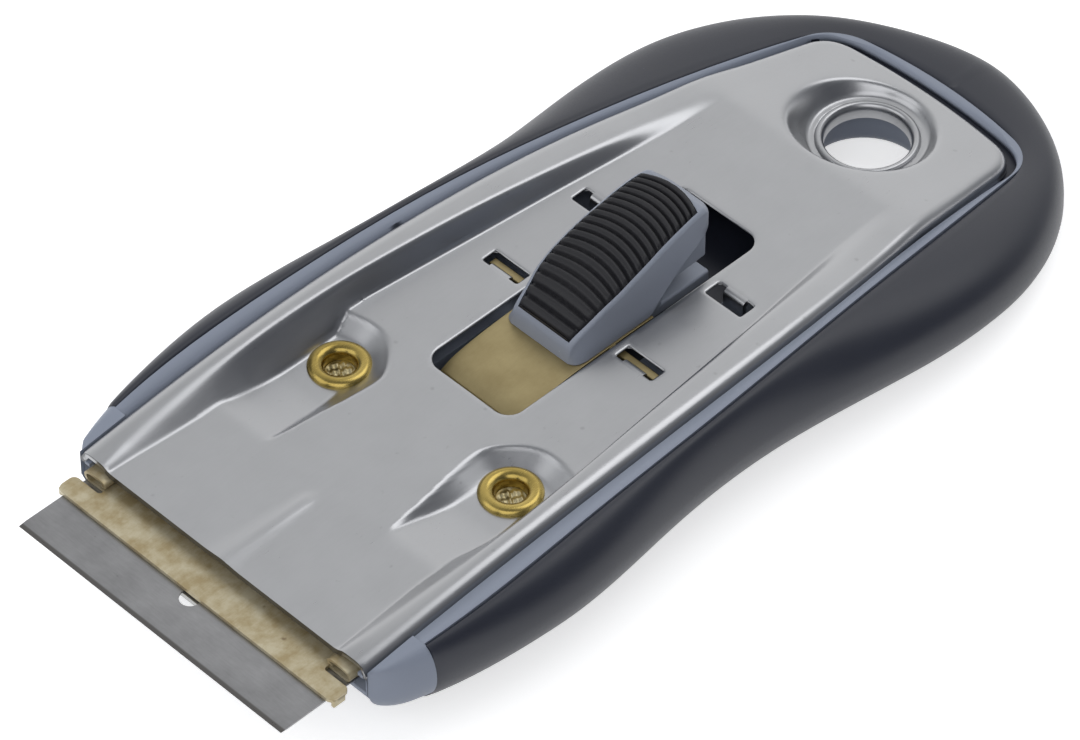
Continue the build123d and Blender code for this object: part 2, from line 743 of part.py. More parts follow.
# Clamp plate under the blade, with the peg that goes through the blade's rear hole
clamp_top = blade_top - blade_thickness
clamp_back = blade_back - clamp_rear_inset
clamp_length = clamp_front + clamp_back
clamp_tail = clamp_rivet_place + clamp_tail_edge - clamp_back
with BuildPart() as blade_clamp:
    with BuildSketch(Plane.XY.offset(above(clamp_top - clamp_thickness))):
        with Locations((behind(-clamp_front), 0)):
            Rectangle(clamp_length, 2 * clamp_half_width, align=(Align.MIN, Align.CENTER))
        with Locations((behind(clamp_back), 0)):
            Rectangle(clamp_tail, 2 * tail_half_width, align=(Align.MIN, Align.CENTER))
        with Locations(*clamp_rivet_spots):
            Circle(clamp_rivet_radius, mode=Mode.SUBTRACT)
    extrude(amount=clamp_thickness)
    with BuildSketch(Plane.XY.offset(above(clamp_top))):
        with Locations((behind(rear_hole_place), 0)):
            Circle(peg_radius)
    extrude(amount=blade_thickness + strip)
blade_clamp.part.label = "blade_clamp"
export_step(blade_clamp.part, "parts/blade_clamp.step")

# Two small rivets that hold the clamp to the carrier
with BuildPart() as clamp_rivets:
    for side in (1, -1):
        with Locations((behind(clamp_rivet_place), side * clamp_rivet_spread,
                        above(clamp_top - clamp_thickness))):
            Cylinder(clamp_rivet_head_radius, clamp_rivet_head, align=(Align.CENTER, Align.CENTER, Align.MAX))
            Cylinder(clamp_rivet_radius, carrier_height - clamp_top + clamp_thickness,
                     align=(Align.CENTER, Align.CENTER, Align.MIN))
        with Locations((behind(clamp_rivet_place), side * clamp_rivet_spread, above(carrier_height))):
            Cylinder(clamp_rivet_head_radius, clamp_rivet_head, align=(Align.CENTER, Align.CENTER, Align.MIN))
clamp_rivets.part.label = "clamp_rivets"
export_step(clamp_rivets.part, "parts/clamp_rivets.step")

# Spring leaf: it rises from the bend at the carrier's tail to the button, and carries the lock bar
bend_z = carrier_height - joggle_drop
with BuildPart() as spring_leaf:
    with BuildSketch(Plane.XZ):
        with BuildLine():
            Polyline((behind(hinge_place), above(bend_z)), (behind(leaf_rise_place), above(leaf_top)),
                     (behind(leaf_end_place), above(leaf_top)),
                     (behind(leaf_end_place), above(leaf_top - strip)),
                     (behind(leaf_rise_place), above(leaf_top - strip)),
                     (behind(hinge_place), above(bend_z - strip)))
            ThreePointArc((behind(hinge_place), above(bend_z - strip)),
                          (behind(hinge_place) - strip / 2, above(bend_z - strip / 2)),
                          (behind(hinge_place), above(bend_z)))
        make_face()
    extrude(amount=leaf_half_width, both=True)
    with Locations((behind(lock_bar_place), 0, above(leaf_top))):
        Box(lock_bar_width, 2 * lock_bar_reach, lock_bar_drop, align=(Align.MIN, Align.CENTER, Align.MAX))
    with BuildSketch():
        with Locations((behind(button_peg_place), 0)):
            Circle(button_peg_radius)
    extrude(amount=overrun, mode=Mode.SUBTRACT)
spring_leaf.part.label = "spring_leaf"
export_step(spring_leaf.part, "parts/spring_leaf.step")

# Thumb button: cap, stem through the opening, foot under the plate and peg through the leaf
cap_points = [(behind(button_front_place + along * cap_length), above(up * cap_height))
              for along, up in button_top_shares]
pad_shift = (pad_lean * pad_thickness, -pad_thickness)
pad_low_points = [(x + pad_shift[0], z + pad_shift[1]) for x, z in cap_points]
pad_back_x = behind(button_back_place - pad_back_inset)

with BuildPart() as thumb_button:
    with BuildSketch(Plane.XZ):
        with BuildLine():
            Spline(*cap_points)
            Polyline(cap_points[-1], (behind(button_back_place), above(cap_height)),
                     (behind(button_back_place), above(cap_lip_height)),
                     (behind(foot_back_place), above(skirt_back_height)),
                     (behind(stem_back_place), above(skirt_front_height)),
                     (behind(stem_back_place), above(foot_top)),
                     (behind(foot_back_place), above(foot_top)),
                     (behind(foot_back_place), above(foot_bottom)),
                     (behind(foot_front_place), above(foot_bottom)),
                     (behind(foot_front_place), above(leaf_top)),
                     (behind(button_front_place), above(leaf_top)),
                     (behind(button_front_place), above(button_nose_height)), cap_points[0])
        make_face()
    extrude(amount=button_half_width, both=True)
    fillet(edges().filter_by(Axis.Y).group_by(Axis.X)[-1].group_by(Axis.Z)[-1], cap_back_round)
    with BuildSketch(Plane.XZ):
        with BuildLine():
            Spline(*pad_low_points)
            Polyline(pad_low_points[-1], (pad_back_x, pad_low_points[-1][1]), (pad_back_x, above(overrun)),
                     (cap_points[0][0], above(overrun)), cap_points[0], pad_low_points[0])
        make_face()
    extrude(amount=pad_half_width, both=True, mode=Mode.SUBTRACT)
    with Locations((behind(button_peg_place), 0, above(leaf_top))):
        Cylinder(button_peg_radius, button_peg_length, align=(Align.CENTER, Align.CENTER, Align.MAX))
thumb_button.part.label = "thumb_button"
export_step(thumb_button.part, "parts/thumb_button.step")

# Ribbed rubber pad set into the button
with BuildLine(Plane.XZ) as pad_line:
    Spline(*cap_points)

with BuildPart() as thumb_pad:
    with BuildSketch(Plane.XZ):
        with BuildLine():
            Spline(*cap_points)
            Spline(*pad_low_points)
            Polyline(cap_points[-1], (pad_back_x, cap_points[-1][1]), (pad_back_x, pad_low_points[-1][1]),
                     pad_low_points[-1])
            Line(cap_points[0], pad_low_points[0])
        make_face()
    extrude(amount=pad_half_width, both=True)
    for rib in range(1, rib_count):
        spot = pad_line.line @ (rib / rib_count)
        along = pad_line.line % (rib / rib_count)
        with BuildSketch(Plane(origin=spot, x_dir=along, z_dir=(0, -1, 0))):
            Rectangle(rib_groove, 2 * rib_depth)
        extrude(amount=pad_half_width, both=True, mode=Mode.SUBTRACT)
thumb_pad.part.label = "thumb_pad"
export_step(thumb_pad.part, "parts/thumb_pad.step")

# Toothed clip pressed on the button's peg, under the leaf
with BuildPart() as button_clip:
    with BuildSketch(Plane.XY.offset(above(leaf_top - strip - clip_thickness))):
        with Locations((behind(button_peg_place), 0)):
            Circle(clip_radius)
            Circle(button_peg_radius, mode=Mode.SUBTRACT)
            with PolarLocations(button_peg_radius, clip_notches):
                Circle(clip_notch_radius, mode=Mode.SUBTRACT)
    extrude(amount=clip_thickness)
button_clip.part.label = "button_clip"
export_step(button_clip.part, "parts/button_clip.step")
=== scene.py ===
"""Looks of the window scraper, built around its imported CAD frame.

Sizes are in millimetres in the part's own frame: +X from the blade to the tail, +Z up, and the
origin under the middle of the overall length. Heights of the plate are given above its sunk floor.

The rim's top line and the handle's widest line are arcs seen from the side. Each has a crest, given
behind the plate's front edge, the height there, and how far it falls over its reach.
"""

from __future__ import annotations

import logging
import math
from dataclasses import dataclass, field
from enum import Enum
from typing import Callable, Sequence

import bmesh
import bpy
import numpy as np
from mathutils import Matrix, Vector, geometry

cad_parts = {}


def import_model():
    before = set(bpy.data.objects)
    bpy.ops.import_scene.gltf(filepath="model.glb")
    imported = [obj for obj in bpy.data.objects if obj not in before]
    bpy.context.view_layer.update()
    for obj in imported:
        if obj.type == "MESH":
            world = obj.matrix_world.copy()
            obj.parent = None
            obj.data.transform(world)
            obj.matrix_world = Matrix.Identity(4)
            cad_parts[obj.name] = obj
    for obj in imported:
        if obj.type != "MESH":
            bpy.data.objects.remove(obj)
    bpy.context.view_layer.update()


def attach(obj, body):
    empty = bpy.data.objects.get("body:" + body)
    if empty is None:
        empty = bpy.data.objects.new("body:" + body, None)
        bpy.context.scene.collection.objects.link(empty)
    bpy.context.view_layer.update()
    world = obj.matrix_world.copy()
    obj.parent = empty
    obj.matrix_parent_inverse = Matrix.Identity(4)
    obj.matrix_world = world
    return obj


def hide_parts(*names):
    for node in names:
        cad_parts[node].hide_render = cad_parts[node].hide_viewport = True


LOG = logging.getLogger("window_scraper")
MM = 0.001
FRONT_X = -54.05
FLOOR_Z = 12.0
HOLE_X = 42.85
RIVET_D, RIVET_Y = 29.0, 13.0
RIM_CREST, RIM_TOP, RIM_REACH, RIM_FALL = 40.0, 2.5, 78.4, 9.91
SHELL_LIFT = 0.6
GIRTH_CREST, GIRTH_TOP, GIRTH_REACH, GIRTH_FALL = 29.0, -2.7, 89.4, 7.74
NOSE_SWEEP, NOSE_LIFT = 37.0, 4.0
SIDES = (("left", 1.0), ("right", -1.0))

Pairs = tuple[tuple[float, float], ...]
Colour = tuple[float, float, float]
Table = Sequence[Sequence[float]]


def behind(distance: float) -> float:
    """Return the x of a place this far behind the plate's front edge."""
    return FRONT_X + distance


def above(height: float) -> float:
    """Return the z of a height above the plate's sunk floor."""
    return FLOOR_Z + height


def rim_height(x: float | np.ndarray) -> float | np.ndarray:
    """Return the height above the floor of the grey rim's top line at x."""
    share = (x - behind(RIM_CREST)) / RIM_REACH
    return RIM_TOP - RIM_FALL * share**2


def shell_height(x: float | np.ndarray) -> float | np.ndarray:
    """Return the height above the floor of the plate's arched shell at x."""
    return rim_height(x) + SHELL_LIFT


def girth_z(x: float) -> float:
    """Return the z at which the handle is widest at x."""
    share = (x - behind(GIRTH_CREST)) / GIRTH_REACH
    return above(GIRTH_TOP) - GIRTH_FALL * share**2


def sole_z(x: float) -> float:
    """Return the z of the underside at x, which lifts under the nose."""
    ahead = max(0.0, behind(NOSE_SWEEP) - x)
    return NOSE_LIFT * (ahead / NOSE_SWEEP) ** 2


def smooth(value: np.ndarray) -> np.ndarray:
    """Return a smooth step from 0 to 1 of values clipped to that range."""
    value = np.clip(value, 0.0, 1.0)
    return value * value * (3.0 - 2.0 * value)


def step_up(value: float) -> float:
    """Return the smooth step of one value."""
    return float(smooth(np.array([value]))[0])


def lesser(first: np.ndarray, second: np.ndarray | float, blend: np.ndarray | float) -> np.ndarray:
    """Return the smaller of two heights, with the corner between them rounded."""
    return 0.5 * (first + second - np.sqrt((first - second) ** 2 + blend * blend))


def fillet(share: float) -> float:
    """Return how far a quarter circle has fallen away, 1 at its start and 0 at its end."""
    return 1.0 - math.sqrt(1.0 - max(0.0, share) ** 2)


def along(points: Table, place: float) -> float:
    """Read a table at one place."""
    return float(flow(points, np.array([place]))[0])


def column(table: Table, index: int) -> list[tuple[float, float]]:
    """Return a table's places with one of its other columns."""
    return [(row[0], row[index]) for row in table]


def lengths(path: np.ndarray) -> np.ndarray:
    """Return the length of a path up to each of its points."""
    return np.concatenate([[0.0], np.cumsum(np.linalg.norm(np.diff(path, axis=0), axis=1))])


def directions(line: np.ndarray) -> tuple[np.ndarray, np.ndarray]:
    """Return the unit directions along a plan line and to its left, at each point.

    Args:
        line: Plan points.

    Returns:
        The directions forward and to the left, one row per point.
    """
    forward = np.gradient(line, axis=0)
    forward /= np.linalg.norm(forward, axis=1)[:, None]
    return forward, np.column_stack([-forward[:, 1], forward[:, 0]])


def circle(centre: Sequence[float], radius: float, count: int) -> list[tuple[float, float]]:
    """Return plan points round a circle."""
    turns = np.linspace(0.0, 2.0 * math.pi, count, endpoint=False)
    return [(centre[0] + radius * math.cos(t), centre[1] + radius * math.sin(t)) for t in turns]


def gap(points: np.ndarray, line: np.ndarray) -> np.ndarray:
    """Return the distance of plan points from a line of points.

    Args:
        points: Plan points.
        line: Points of the line.

    Returns:
        One distance per point.
    """
    nearest = np.full(len(points), 1e9)
    for first, last in zip(line[:-1], line[1:]):
        run = last - first
        share = np.clip(((points - first) @ run) / max(1e-12, float(run @ run)), 0.0, 1.0)
        nearest = np.minimum(nearest, np.linalg.norm(points - first - share[:, None] * run, axis=1))
    return nearest


def divided(ring: Table, step: float) -> list[tuple[float, float]]:
    """Divide the long sides of a closed outline.

    Args:
        ring: The outline.
        step: The longest side that stays whole.

    Returns:
        The points, in order.
    """
    made: list[tuple[float, float]] = []
    for first, last in zip(ring, [*ring[1:], ring[0]]):
        count = max(1, math.ceil(math.dist(first, last) / step))
        for k in range(count):
            x, y = (first[i] + (last[i] - first[i]) * k / count for i in range(2))
            made.append((x, y))
    return made


def contains(ring: np.ndarray, points: np.ndarray) -> np.ndarray:
    """Tell for each plan point whether a closed outline holds it.

    Args:
        ring: The outline.
        points: Plan points.

    Returns:
        One answer per point.
    """
    held = np.zeros(len(points), bool)
    x, y = points[:, 0], points[:, 1]
    for (x0, y0), (x1, y1) in zip(ring, np.roll(ring, -1, axis=0)):
        if y0 == y1:
            continue
        crosses = ((y0 > y) != (y1 > y)) & (x < (x1 - x0) * (y - y0) / (y1 - y0) + x0)
        held ^= crosses
    return held


def hermite(
    t: np.ndarray,
    step: np.ndarray,
    ends: tuple[np.ndarray, np.ndarray],
    tangents: tuple[np.ndarray, np.ndarray],
) -> np.ndarray:
    """Return the cubic between pairs of values.

    Args:
        t: Share of the way, 0 to 1.
        step: Length of each stretch.
        ends: Values at the start and at the end.
        tangents: Slopes at the start and at the end.

    Returns:
        The values on the way.
    """
    return (
        (1 + 2 * t) * (1 - t) ** 2 * ends[0]
        + t * (1 - t) ** 2 * step * tangents[0]
        + t * t * (3 - 2 * t) * ends[1]
        + t * t * (t - 1) * step * tangents[1]
    )


def flow(points: Table, x: np.ndarray) -> np.ndarray:
    """Interpolate a table smoothly without overshoot.

    Args:
        points: Pairs of place and value, in order of place.
        x: Places to read.

    Returns:
        The values at those places.
    """
    table = np.asarray(points, float)
    step = np.diff(table[:, 0])
    slope = np.diff(table[:, 1]) / step
    tangent = np.zeros(len(table))
    tangent[0], tangent[-1] = slope[0], slope[-1]
    for i in range(1, len(table) - 1):
        if slope[i - 1] * slope[i] > 0.0:
            tangent[i] = 2.0 * slope[i - 1] * slope[i] / (slope[i - 1] + slope[i])
    x = np.clip(x, table[0, 0], table[-1, 0])
    i = np.clip(np.searchsorted(table[:, 0], x, side="right") - 1, 0, len(step) - 1)
    t = (x - table[i, 0]) / step[i]
    return hermite(t, step[i], (table[i, 1], table[i + 1, 1]), (tangent[i], tangent[i + 1]))


def curve_through(
    points: Table, count: int, start: Sequence[float] | None = None, end: Sequence[float] | None = None
) -> np.ndarray:
    """Draw a smooth curve through points.

    Args:
        points: The points, in order.
        count: How many evenly spaced points to return.
        start: Unit tangent at the first point, if it is fixed.
        end: Unit tangent at the last point, if it is fixed.

    Returns:
        Points along a cubic spline, evenly spaced by length.
    """
    given = np.asarray(points, float)
    size = len(given)
    knots = lengths(given)
    step = np.diff(knots)
    system = np.zeros((size, size))
    right = np.zeros_like(given)
    for i in range(1, size - 1):
        system[i, i - 1] = step[i]
        system[i, i] = 2.0 * (step[i - 1] + step[i])
        system[i, i + 1] = step[i - 1]
        before = (given[i] - given[i - 1]) / step[i - 1]
        after = (given[i + 1] - given[i]) / step[i]
        right[i] = 3.0 * (step[i] * before + step[i - 1] * after)
    system[0, 0], system[-1, -1] = (1.0, 1.0) if start is not None else (2.0, 2.0)
    if start is not None:
        right[0] = start
    else:
        system[0, 1] = 1.0
        right[0] = 3.0 * (given[1] - given[0]) / step[0]
    if end is not None:
        right[-1] = end
        system[-1, -1] = 1.0
    else:
        system[-1, -2] = 1.0
        system[-1, -1] = 2.0
        right[-1] = 3.0 * (given[-1] - given[-2]) / step[-1]
    tangent = np.linalg.solve(system, right)
    fine = np.linspace(0.0, knots[-1], 40 * size)
    i = np.clip(np.searchsorted(knots, fine, side="right") - 1, 0, size - 2)
    t = ((fine - knots[i]) / step[i])[:, None]
    dense = hermite(t, step[i][:, None], (given[i], given[i + 1]), (tangent[i], tangent[i + 1]))
    run = lengths(dense)
    even = np.linspace(0.0, run[-1], count)
    return np.stack([np.interp(even, run, dense[:, k]) for k in range(given.shape[1])], axis=1)


def bezier(corners: Table, count: int) -> np.ndarray:
    """Return points along a cubic curve with four control points.

    Args:
        corners: The control points.
        count: How many points.

    Returns:
        The points from first to last.
    """
    a, b, c, d = (np.asarray(corner, float) for corner in corners)
    t = np.linspace(0.0, 1.0, count)[:, None]
    return (1 - t) ** 3 * a + 3 * (1 - t) ** 2 * t * b + 3 * (1 - t) * t * t * c + t**3 * d


def rounded(corners: Table, radius: float | Sequence[float], count: int = 6) -> list[tuple[float, float]]:
    """Round the corners of a closed outline.

    Args:
        corners: The outline's corners, in order.
        radius: One radius, or one for each corner.
        count: Points on each rounded corner.

    Returns:
        The rounded outline's points.
    """
    made: list[tuple[float, float]] = []
    size = len(corners)
    radii = [radius] * size if isinstance(radius, (int, float)) else list(radius)
    for i in range(size):
        here = np.asarray(corners[i], float)
        back = np.asarray(corners[i - 1], float) - here
        ahead = np.asarray(corners[(i + 1) % size], float) - here
        if radii[i] <= 0.0:
            made.append((float(here[0]), float(here[1])))
            continue
        back_unit, ahead_unit = back / np.linalg.norm(back), ahead / np.linalg.norm(ahead)
        half = 0.5 * math.acos(float(np.clip(back_unit @ ahead_unit, -1.0, 1.0)))
        cut = radii[i] / math.tan(half)
        first, last = here + back_unit * cut, here + ahead_unit * cut
        middle = (back_unit + ahead_unit) / np.linalg.norm(back_unit + ahead_unit)
        centre = here + middle * radii[i] / math.sin(half)
        for k in range(count + 1):
            point = first + (last - first) * k / count - centre
            point = centre + point / np.linalg.norm(point) * radii[i]
            made.append((float(point[0]), float(point[1])))
    return made


class Socket:
    """A shader socket that takes part in Python expressions."""

    def __init__(self, paint: "Paint", socket: bpy.types.NodeSocket) -> None:
        """Keep the material and the socket."""
        self.paint = paint
        self.socket = socket

    def _math(self, operation: str, first: "Socket | float", second: "Socket | float") -> "Socket":
        """Add one Math node."""
        return self.paint.node("ShaderNodeMath", {"operation": operation}, {0: first, 1: second})

    def __add__(self, other: "Socket | float") -> "Socket":
        """Return the sum."""
        return self._math("ADD", self, other)

    def __radd__(self, other: float) -> "Socket":
        """Return the sum with a plain number on the left."""
        return self._math("ADD", other, self)

    def __sub__(self, other: "Socket | float") -> "Socket":
        """Return the difference."""
        return self._math("SUBTRACT", self, other)

    def __rsub__(self, other: float) -> "Socket":
        """Return the difference with a plain number on the left."""
        return self._math("SUBTRACT", other, self)

    def __mul__(self, other: "Socket | float") -> "Socket":
        """Return the product."""
        return self._math("MULTIPLY", self, other)

    def __rmul__(self, other: float) -> "Socket":
        """Return the product with a plain number on the left."""
        return self._math("MULTIPLY", other, self)

    def clipped(self) -> "Socket":
        """Return the value kept between 0 and 1."""
        return self.paint.node("ShaderNodeClamp", {}, {0: self})

    def larger(self, other: "Socket | float") -> "Socket":
        """Return the larger of two values."""
        return self._math("MAXIMUM", self, other)

    def rise(self, low: float, high: float) -> "Socket":
        """Return a smooth step between two values of this socket."""
        settings = {"interpolation_type": "SMOOTHSTEP"}
        return self.paint.node("ShaderNodeMapRange", settings, {0: self, 1: low, 2: high})


class Paint:
    """One procedural material, or the world, under construction."""

    def __init__(self, owner: bpy.types.Material | bpy.types.World) -> None:
        """Start with an empty node tree.

        Args:
            owner: What the nodes belong to.
        """
        self.owner = owner
        owner.use_nodes = True
        self.tree = owner.node_tree
        self.tree.nodes.clear()

    def _add(self, kind: str, settings: dict[str, object], inputs: dict[int | str, object]) -> bpy.types.Node:
        """Add a node, set its settings, then fill its sockets.

        Args:
            kind: The node's type.
            settings: Its settings.
            inputs: Values or links for its sockets.

        Returns:
            The node.
        """
        made = self.tree.nodes.new(kind)
        for name, value in settings.items():
            if name == "stops":
                self._fill(made.color_ramp, value)
            else:
                setattr(made, name, value)
        for name, value in inputs.items():
            socket = made.inputs[name]
            if isinstance(value, Socket):
                self.tree.links.new(value.socket, socket)
            elif isinstance(value, tuple) and len(value) == 3 and socket.type == "RGBA":
                socket.default_value = (*value, 1.0)
            else:
                socket.default_value = value
        return made

    @staticmethod
    def _fill(ramp: bpy.types.ColorRamp, stops: Sequence[tuple[float, Colour]]) -> None:
        """Give a colour ramp its stops.

        Args:
            ramp: The ramp.
            stops: Pairs of place and colour.
        """
        while len(ramp.elements) < len(stops):
            ramp.elements.new(0.5)
        for element, (place, colour) in zip(ramp.elements, stops):
            element.position = place
            element.color = (*colour, 1.0)

    def node(
        self,
        kind: str,
        settings: dict[str, object] | None = None,
        inputs: dict[int | str, object] | None = None,
        output: int | str = 0,
    ) -> Socket:
        """Add a node.

        Args:
            kind: The node's type.
            settings: Its settings, set first; a colour ramp takes its stops as "stops".
            inputs: Values or links for its sockets, by number or name.
            output: Which output to return.

        Returns:
            The wrapped output socket.
        """
        made = self._add(kind, settings or {}, inputs or {})
        return Socket(self, made.outputs[output])

    def close(self, kind: str, shader: Socket) -> None:
        """Feed a shader to the surface of an output node."""
        self._add(kind, {}, {"Surface": shader})

    def place(self) -> Socket:
        """Return the point in the piece's own frame, in millimetres."""
        point = self.node("ShaderNodeTexCoord", {}, {}, "Object")
        return self.node("ShaderNodeVectorMath", {"operation": "SCALE"}, {0: point, "Scale": 1000.0})

    def axis(self, point: Socket, name: str) -> Socket:
        """Return one coordinate of a point."""
        return self.node("ShaderNodeSeparateXYZ", {}, {0: point}, name)

    def stretched(self, point: Socket, scale: Sequence[float]) -> Socket:
        """Return a point scaled along each axis."""
        return self.node("ShaderNodeVectorMath", {"operation": "MULTIPLY"}, {0: point, 1: tuple(scale)})

    def noise(self, point: Socket, scale: float, detail: float = 3.0, roughness: float = 0.55) -> Socket:
        """Return fractal noise at a point."""
        inputs = {"Vector": point, "Scale": scale, "Detail": detail, "Roughness": roughness}
        return self.node("ShaderNodeTexNoise", {}, inputs, 0)

    def specks(self, point: Socket, scale: float, low: float, high: float) -> Socket:
        """Return small round specks from a cell texture, 1 in the speck."""
        inputs = {"Vector": point, "Scale": scale}
        return 1.0 - self.node("ShaderNodeTexVoronoi", {"feature": "F1"}, inputs, "Distance").rise(low, high)

    def blend(self, share: Socket | float, first: object, second: object) -> Socket:
        """Mix two colours by a share."""
        settings = {"data_type": "RGBA", "blend_type": "MIX"}
        return self.node("ShaderNodeMix", settings, {0: share, 6: first, 7: second}, 2)

    def bump(self, height: Socket, strength: float, distance: float) -> Socket:
        """Turn a height in millimetres into a normal."""
        inputs = {"Height": height, "Strength": strength, "Distance": distance * MM}
        return self.node("ShaderNodeBump", {}, inputs, "Normal")

    def finish(self, **sockets: object) -> bpy.types.Material:
        """Close the material with a Principled shader.

        Args:
            **sockets: Values or links by socket name, with spaces as underscores.

        Returns:
            The material.
        """
        inputs = {name.replace("_", " "): value for name, value in sockets.items()}
        self.close("ShaderNodeOutputMaterial", self.node("ShaderNodeBsdfPrincipled", {}, inputs))
        return self.owner


def tinted(colour: Colour, share: float, lift: float = 0.0) -> Colour:
    """Return a colour multiplied by a share and lifted, at most white."""
    red, green, blue = (min(1.0, share * part + lift) for part in colour)
    return red, green, blue


@dataclass(frozen=True)
class SheetFinish:
    """Rolled sheet metal with faint streaks, clouds and specks, and painted shade on its front face when a
    front x is given.
    """

    light: Colour
    dark: Colour
    roughness: float
    cloud: float = 0.5
    grain: float = 0.5
    speck: Colour = (0.1, 0.1, 0.1)
    speck_share: float = 0.0
    bump_height: float = 0.004
    shaded_front_x: float | None = None
    metallic: float = 1.0
    patch: float = 0.16

    def make(self, name: str) -> bpy.types.Material:
        """Build the material under a name.

        Args:
            name: The material's name.

        Returns:
            The material.
        """
        paint = Paint(bpy.data.materials.new(name))
        point = paint.place()
        clouds = paint.noise(point, self.patch, 4.0, 0.6)
        streaks = paint.noise(paint.stretched(point, (0.35, 3.2, 3.2)), 1.6, 3.0, 0.6)
        grain = paint.noise(point, 7.0, 2.0, 0.5)
        share = (clouds - 0.5) * (2.4 * self.cloud) + (streaks - 0.5) * (1.2 * self.grain) + 0.5
        share = (share + (grain - 0.5) * (0.5 * self.grain)).clipped()
        colour = paint.blend(share, self.dark, self.light)
        if self.speck_share > 0.0:
            spots = paint.specks(point, 0.42, 0.05, 0.16) * paint.noise(point, 0.9, 2.0).rise(0.5, 0.66)
            colour = paint.blend(spots * self.speck_share, colour, self.speck)
        # Painted shade: the face ahead of this x is painted dark to stand in for the thin shadow line along the
        # sheet's front edge.
        if self.shaded_front_x is not None:
            face = 1.0 - paint.axis(point, "X").rise(self.shaded_front_x + 0.01, self.shaded_front_x + 0.05)
            colour = paint.blend(face, colour, tinted(self.dark, 0.35))
        rough = (clouds - 0.5) * 0.12 + (streaks - 0.5) * 0.1 + self.roughness
        normal = paint.bump(streaks + grain * 0.6, 0.5, self.bump_height)
        return paint.finish(Base_Color=colour, Roughness=rough, Metallic=self.metallic, Normal=normal)


@dataclass(frozen=True)
class MouldedFinish:
    """Moulded plastic with a fine spark texture and soft clouds."""

    light: Colour
    dark: Colour
    roughness: float
    texture: float
    texture_scale: float
    specular: float

    def make(self, name: str) -> bpy.types.Material:
        """Build the material under a name.

        Args:
            name: The material's name.

        Returns:
            The material.
        """
        paint = Paint(bpy.data.materials.new(name))
        point = paint.place()
        clouds = paint.noise(point, 0.09, 4.0, 0.6)
        fine = paint.noise(point, self.texture_scale, 2.0, 0.6)
        share = ((clouds - 0.5) * 1.5 + (fine - 0.5) * 0.35 + 0.5).clipped()
        colour = paint.blend(share, self.dark, self.light)
        dust = paint.specks(point, 0.55, 0.02, 0.07) * paint.noise(point, 0.5, 2.0).rise(0.5, 0.62)
        colour = paint.blend(dust * 0.22, colour, tinted(self.light, 3.0, 0.05))
        rough = (fine - 0.5) * 0.16 + (clouds - 0.5) * 0.1 + self.roughness
        normal = paint.bump(fine, 0.45, self.texture)
        return paint.finish(
            Base_Color=colour, Roughness=rough, Specular_IOR_Level=self.specular, Normal=normal
        )


@dataclass(frozen=True)
class BladeFinish:
    """Plain blade steel with a ground edge strip and small dark specks."""

    body: Colour
    edge: Colour
    edge_x: float

    def make(self, name: str) -> bpy.types.Material:
        """Build the material under a name.

        Args:
            name: The material's name.

        Returns:
            The material.
        """
        paint = Paint(bpy.data.materials.new(name))
        point = paint.place()
        x = paint.axis(point, "X")
        streaks = paint.noise(paint.stretched(point, (4.0, 0.5, 1.0)), 1.3, 3.0)
        clouds = paint.noise(point, 0.25, 4.0, 0.6)
        share = ((clouds - 0.5) * 1.6 + (streaks - 0.5) * 0.8 + 0.5).clipped()
        colour = paint.blend(share, tinted(self.body, 0.82), tinted(self.body, 1.15))
        spots = paint.specks(point, 0.7, 0.04, 0.13) * paint.noise(point, 1.1, 2.0).rise(0.52, 0.64)
        colour = paint.blend(spots * 0.55, colour, tinted(self.body, 0.35))
        ground = 1.0 - x.rise(self.edge_x - 0.12, self.edge_x + 0.12)
        colour = paint.blend(ground, colour, self.edge)
        rough = (streaks - 0.5) * 0.16 + 0.38 + ground * -0.08
        normal = paint.bump(streaks, 0.4, 0.004)
        return paint.finish(Base_Color=colour, Roughness=rough, Metallic=1.0, Normal=normal)


class Tone(Enum):
    """The finishes of the scraper's pieces."""

    PLATE = "plate_steel"
    FRAME = "frame_plastic"
    GRIP = "grip_plastic"
    RIVET = "rivet_brass"
    CORE = "rivet_core"
    CARRIER = "carrier_brass"
    LEAF = "leaf_brass"
    BLADE = "blade_steel"
    HIDDEN = "hidden_steel"
    BUTTON = "button_plastic"
    PAD = "pad_rubber"


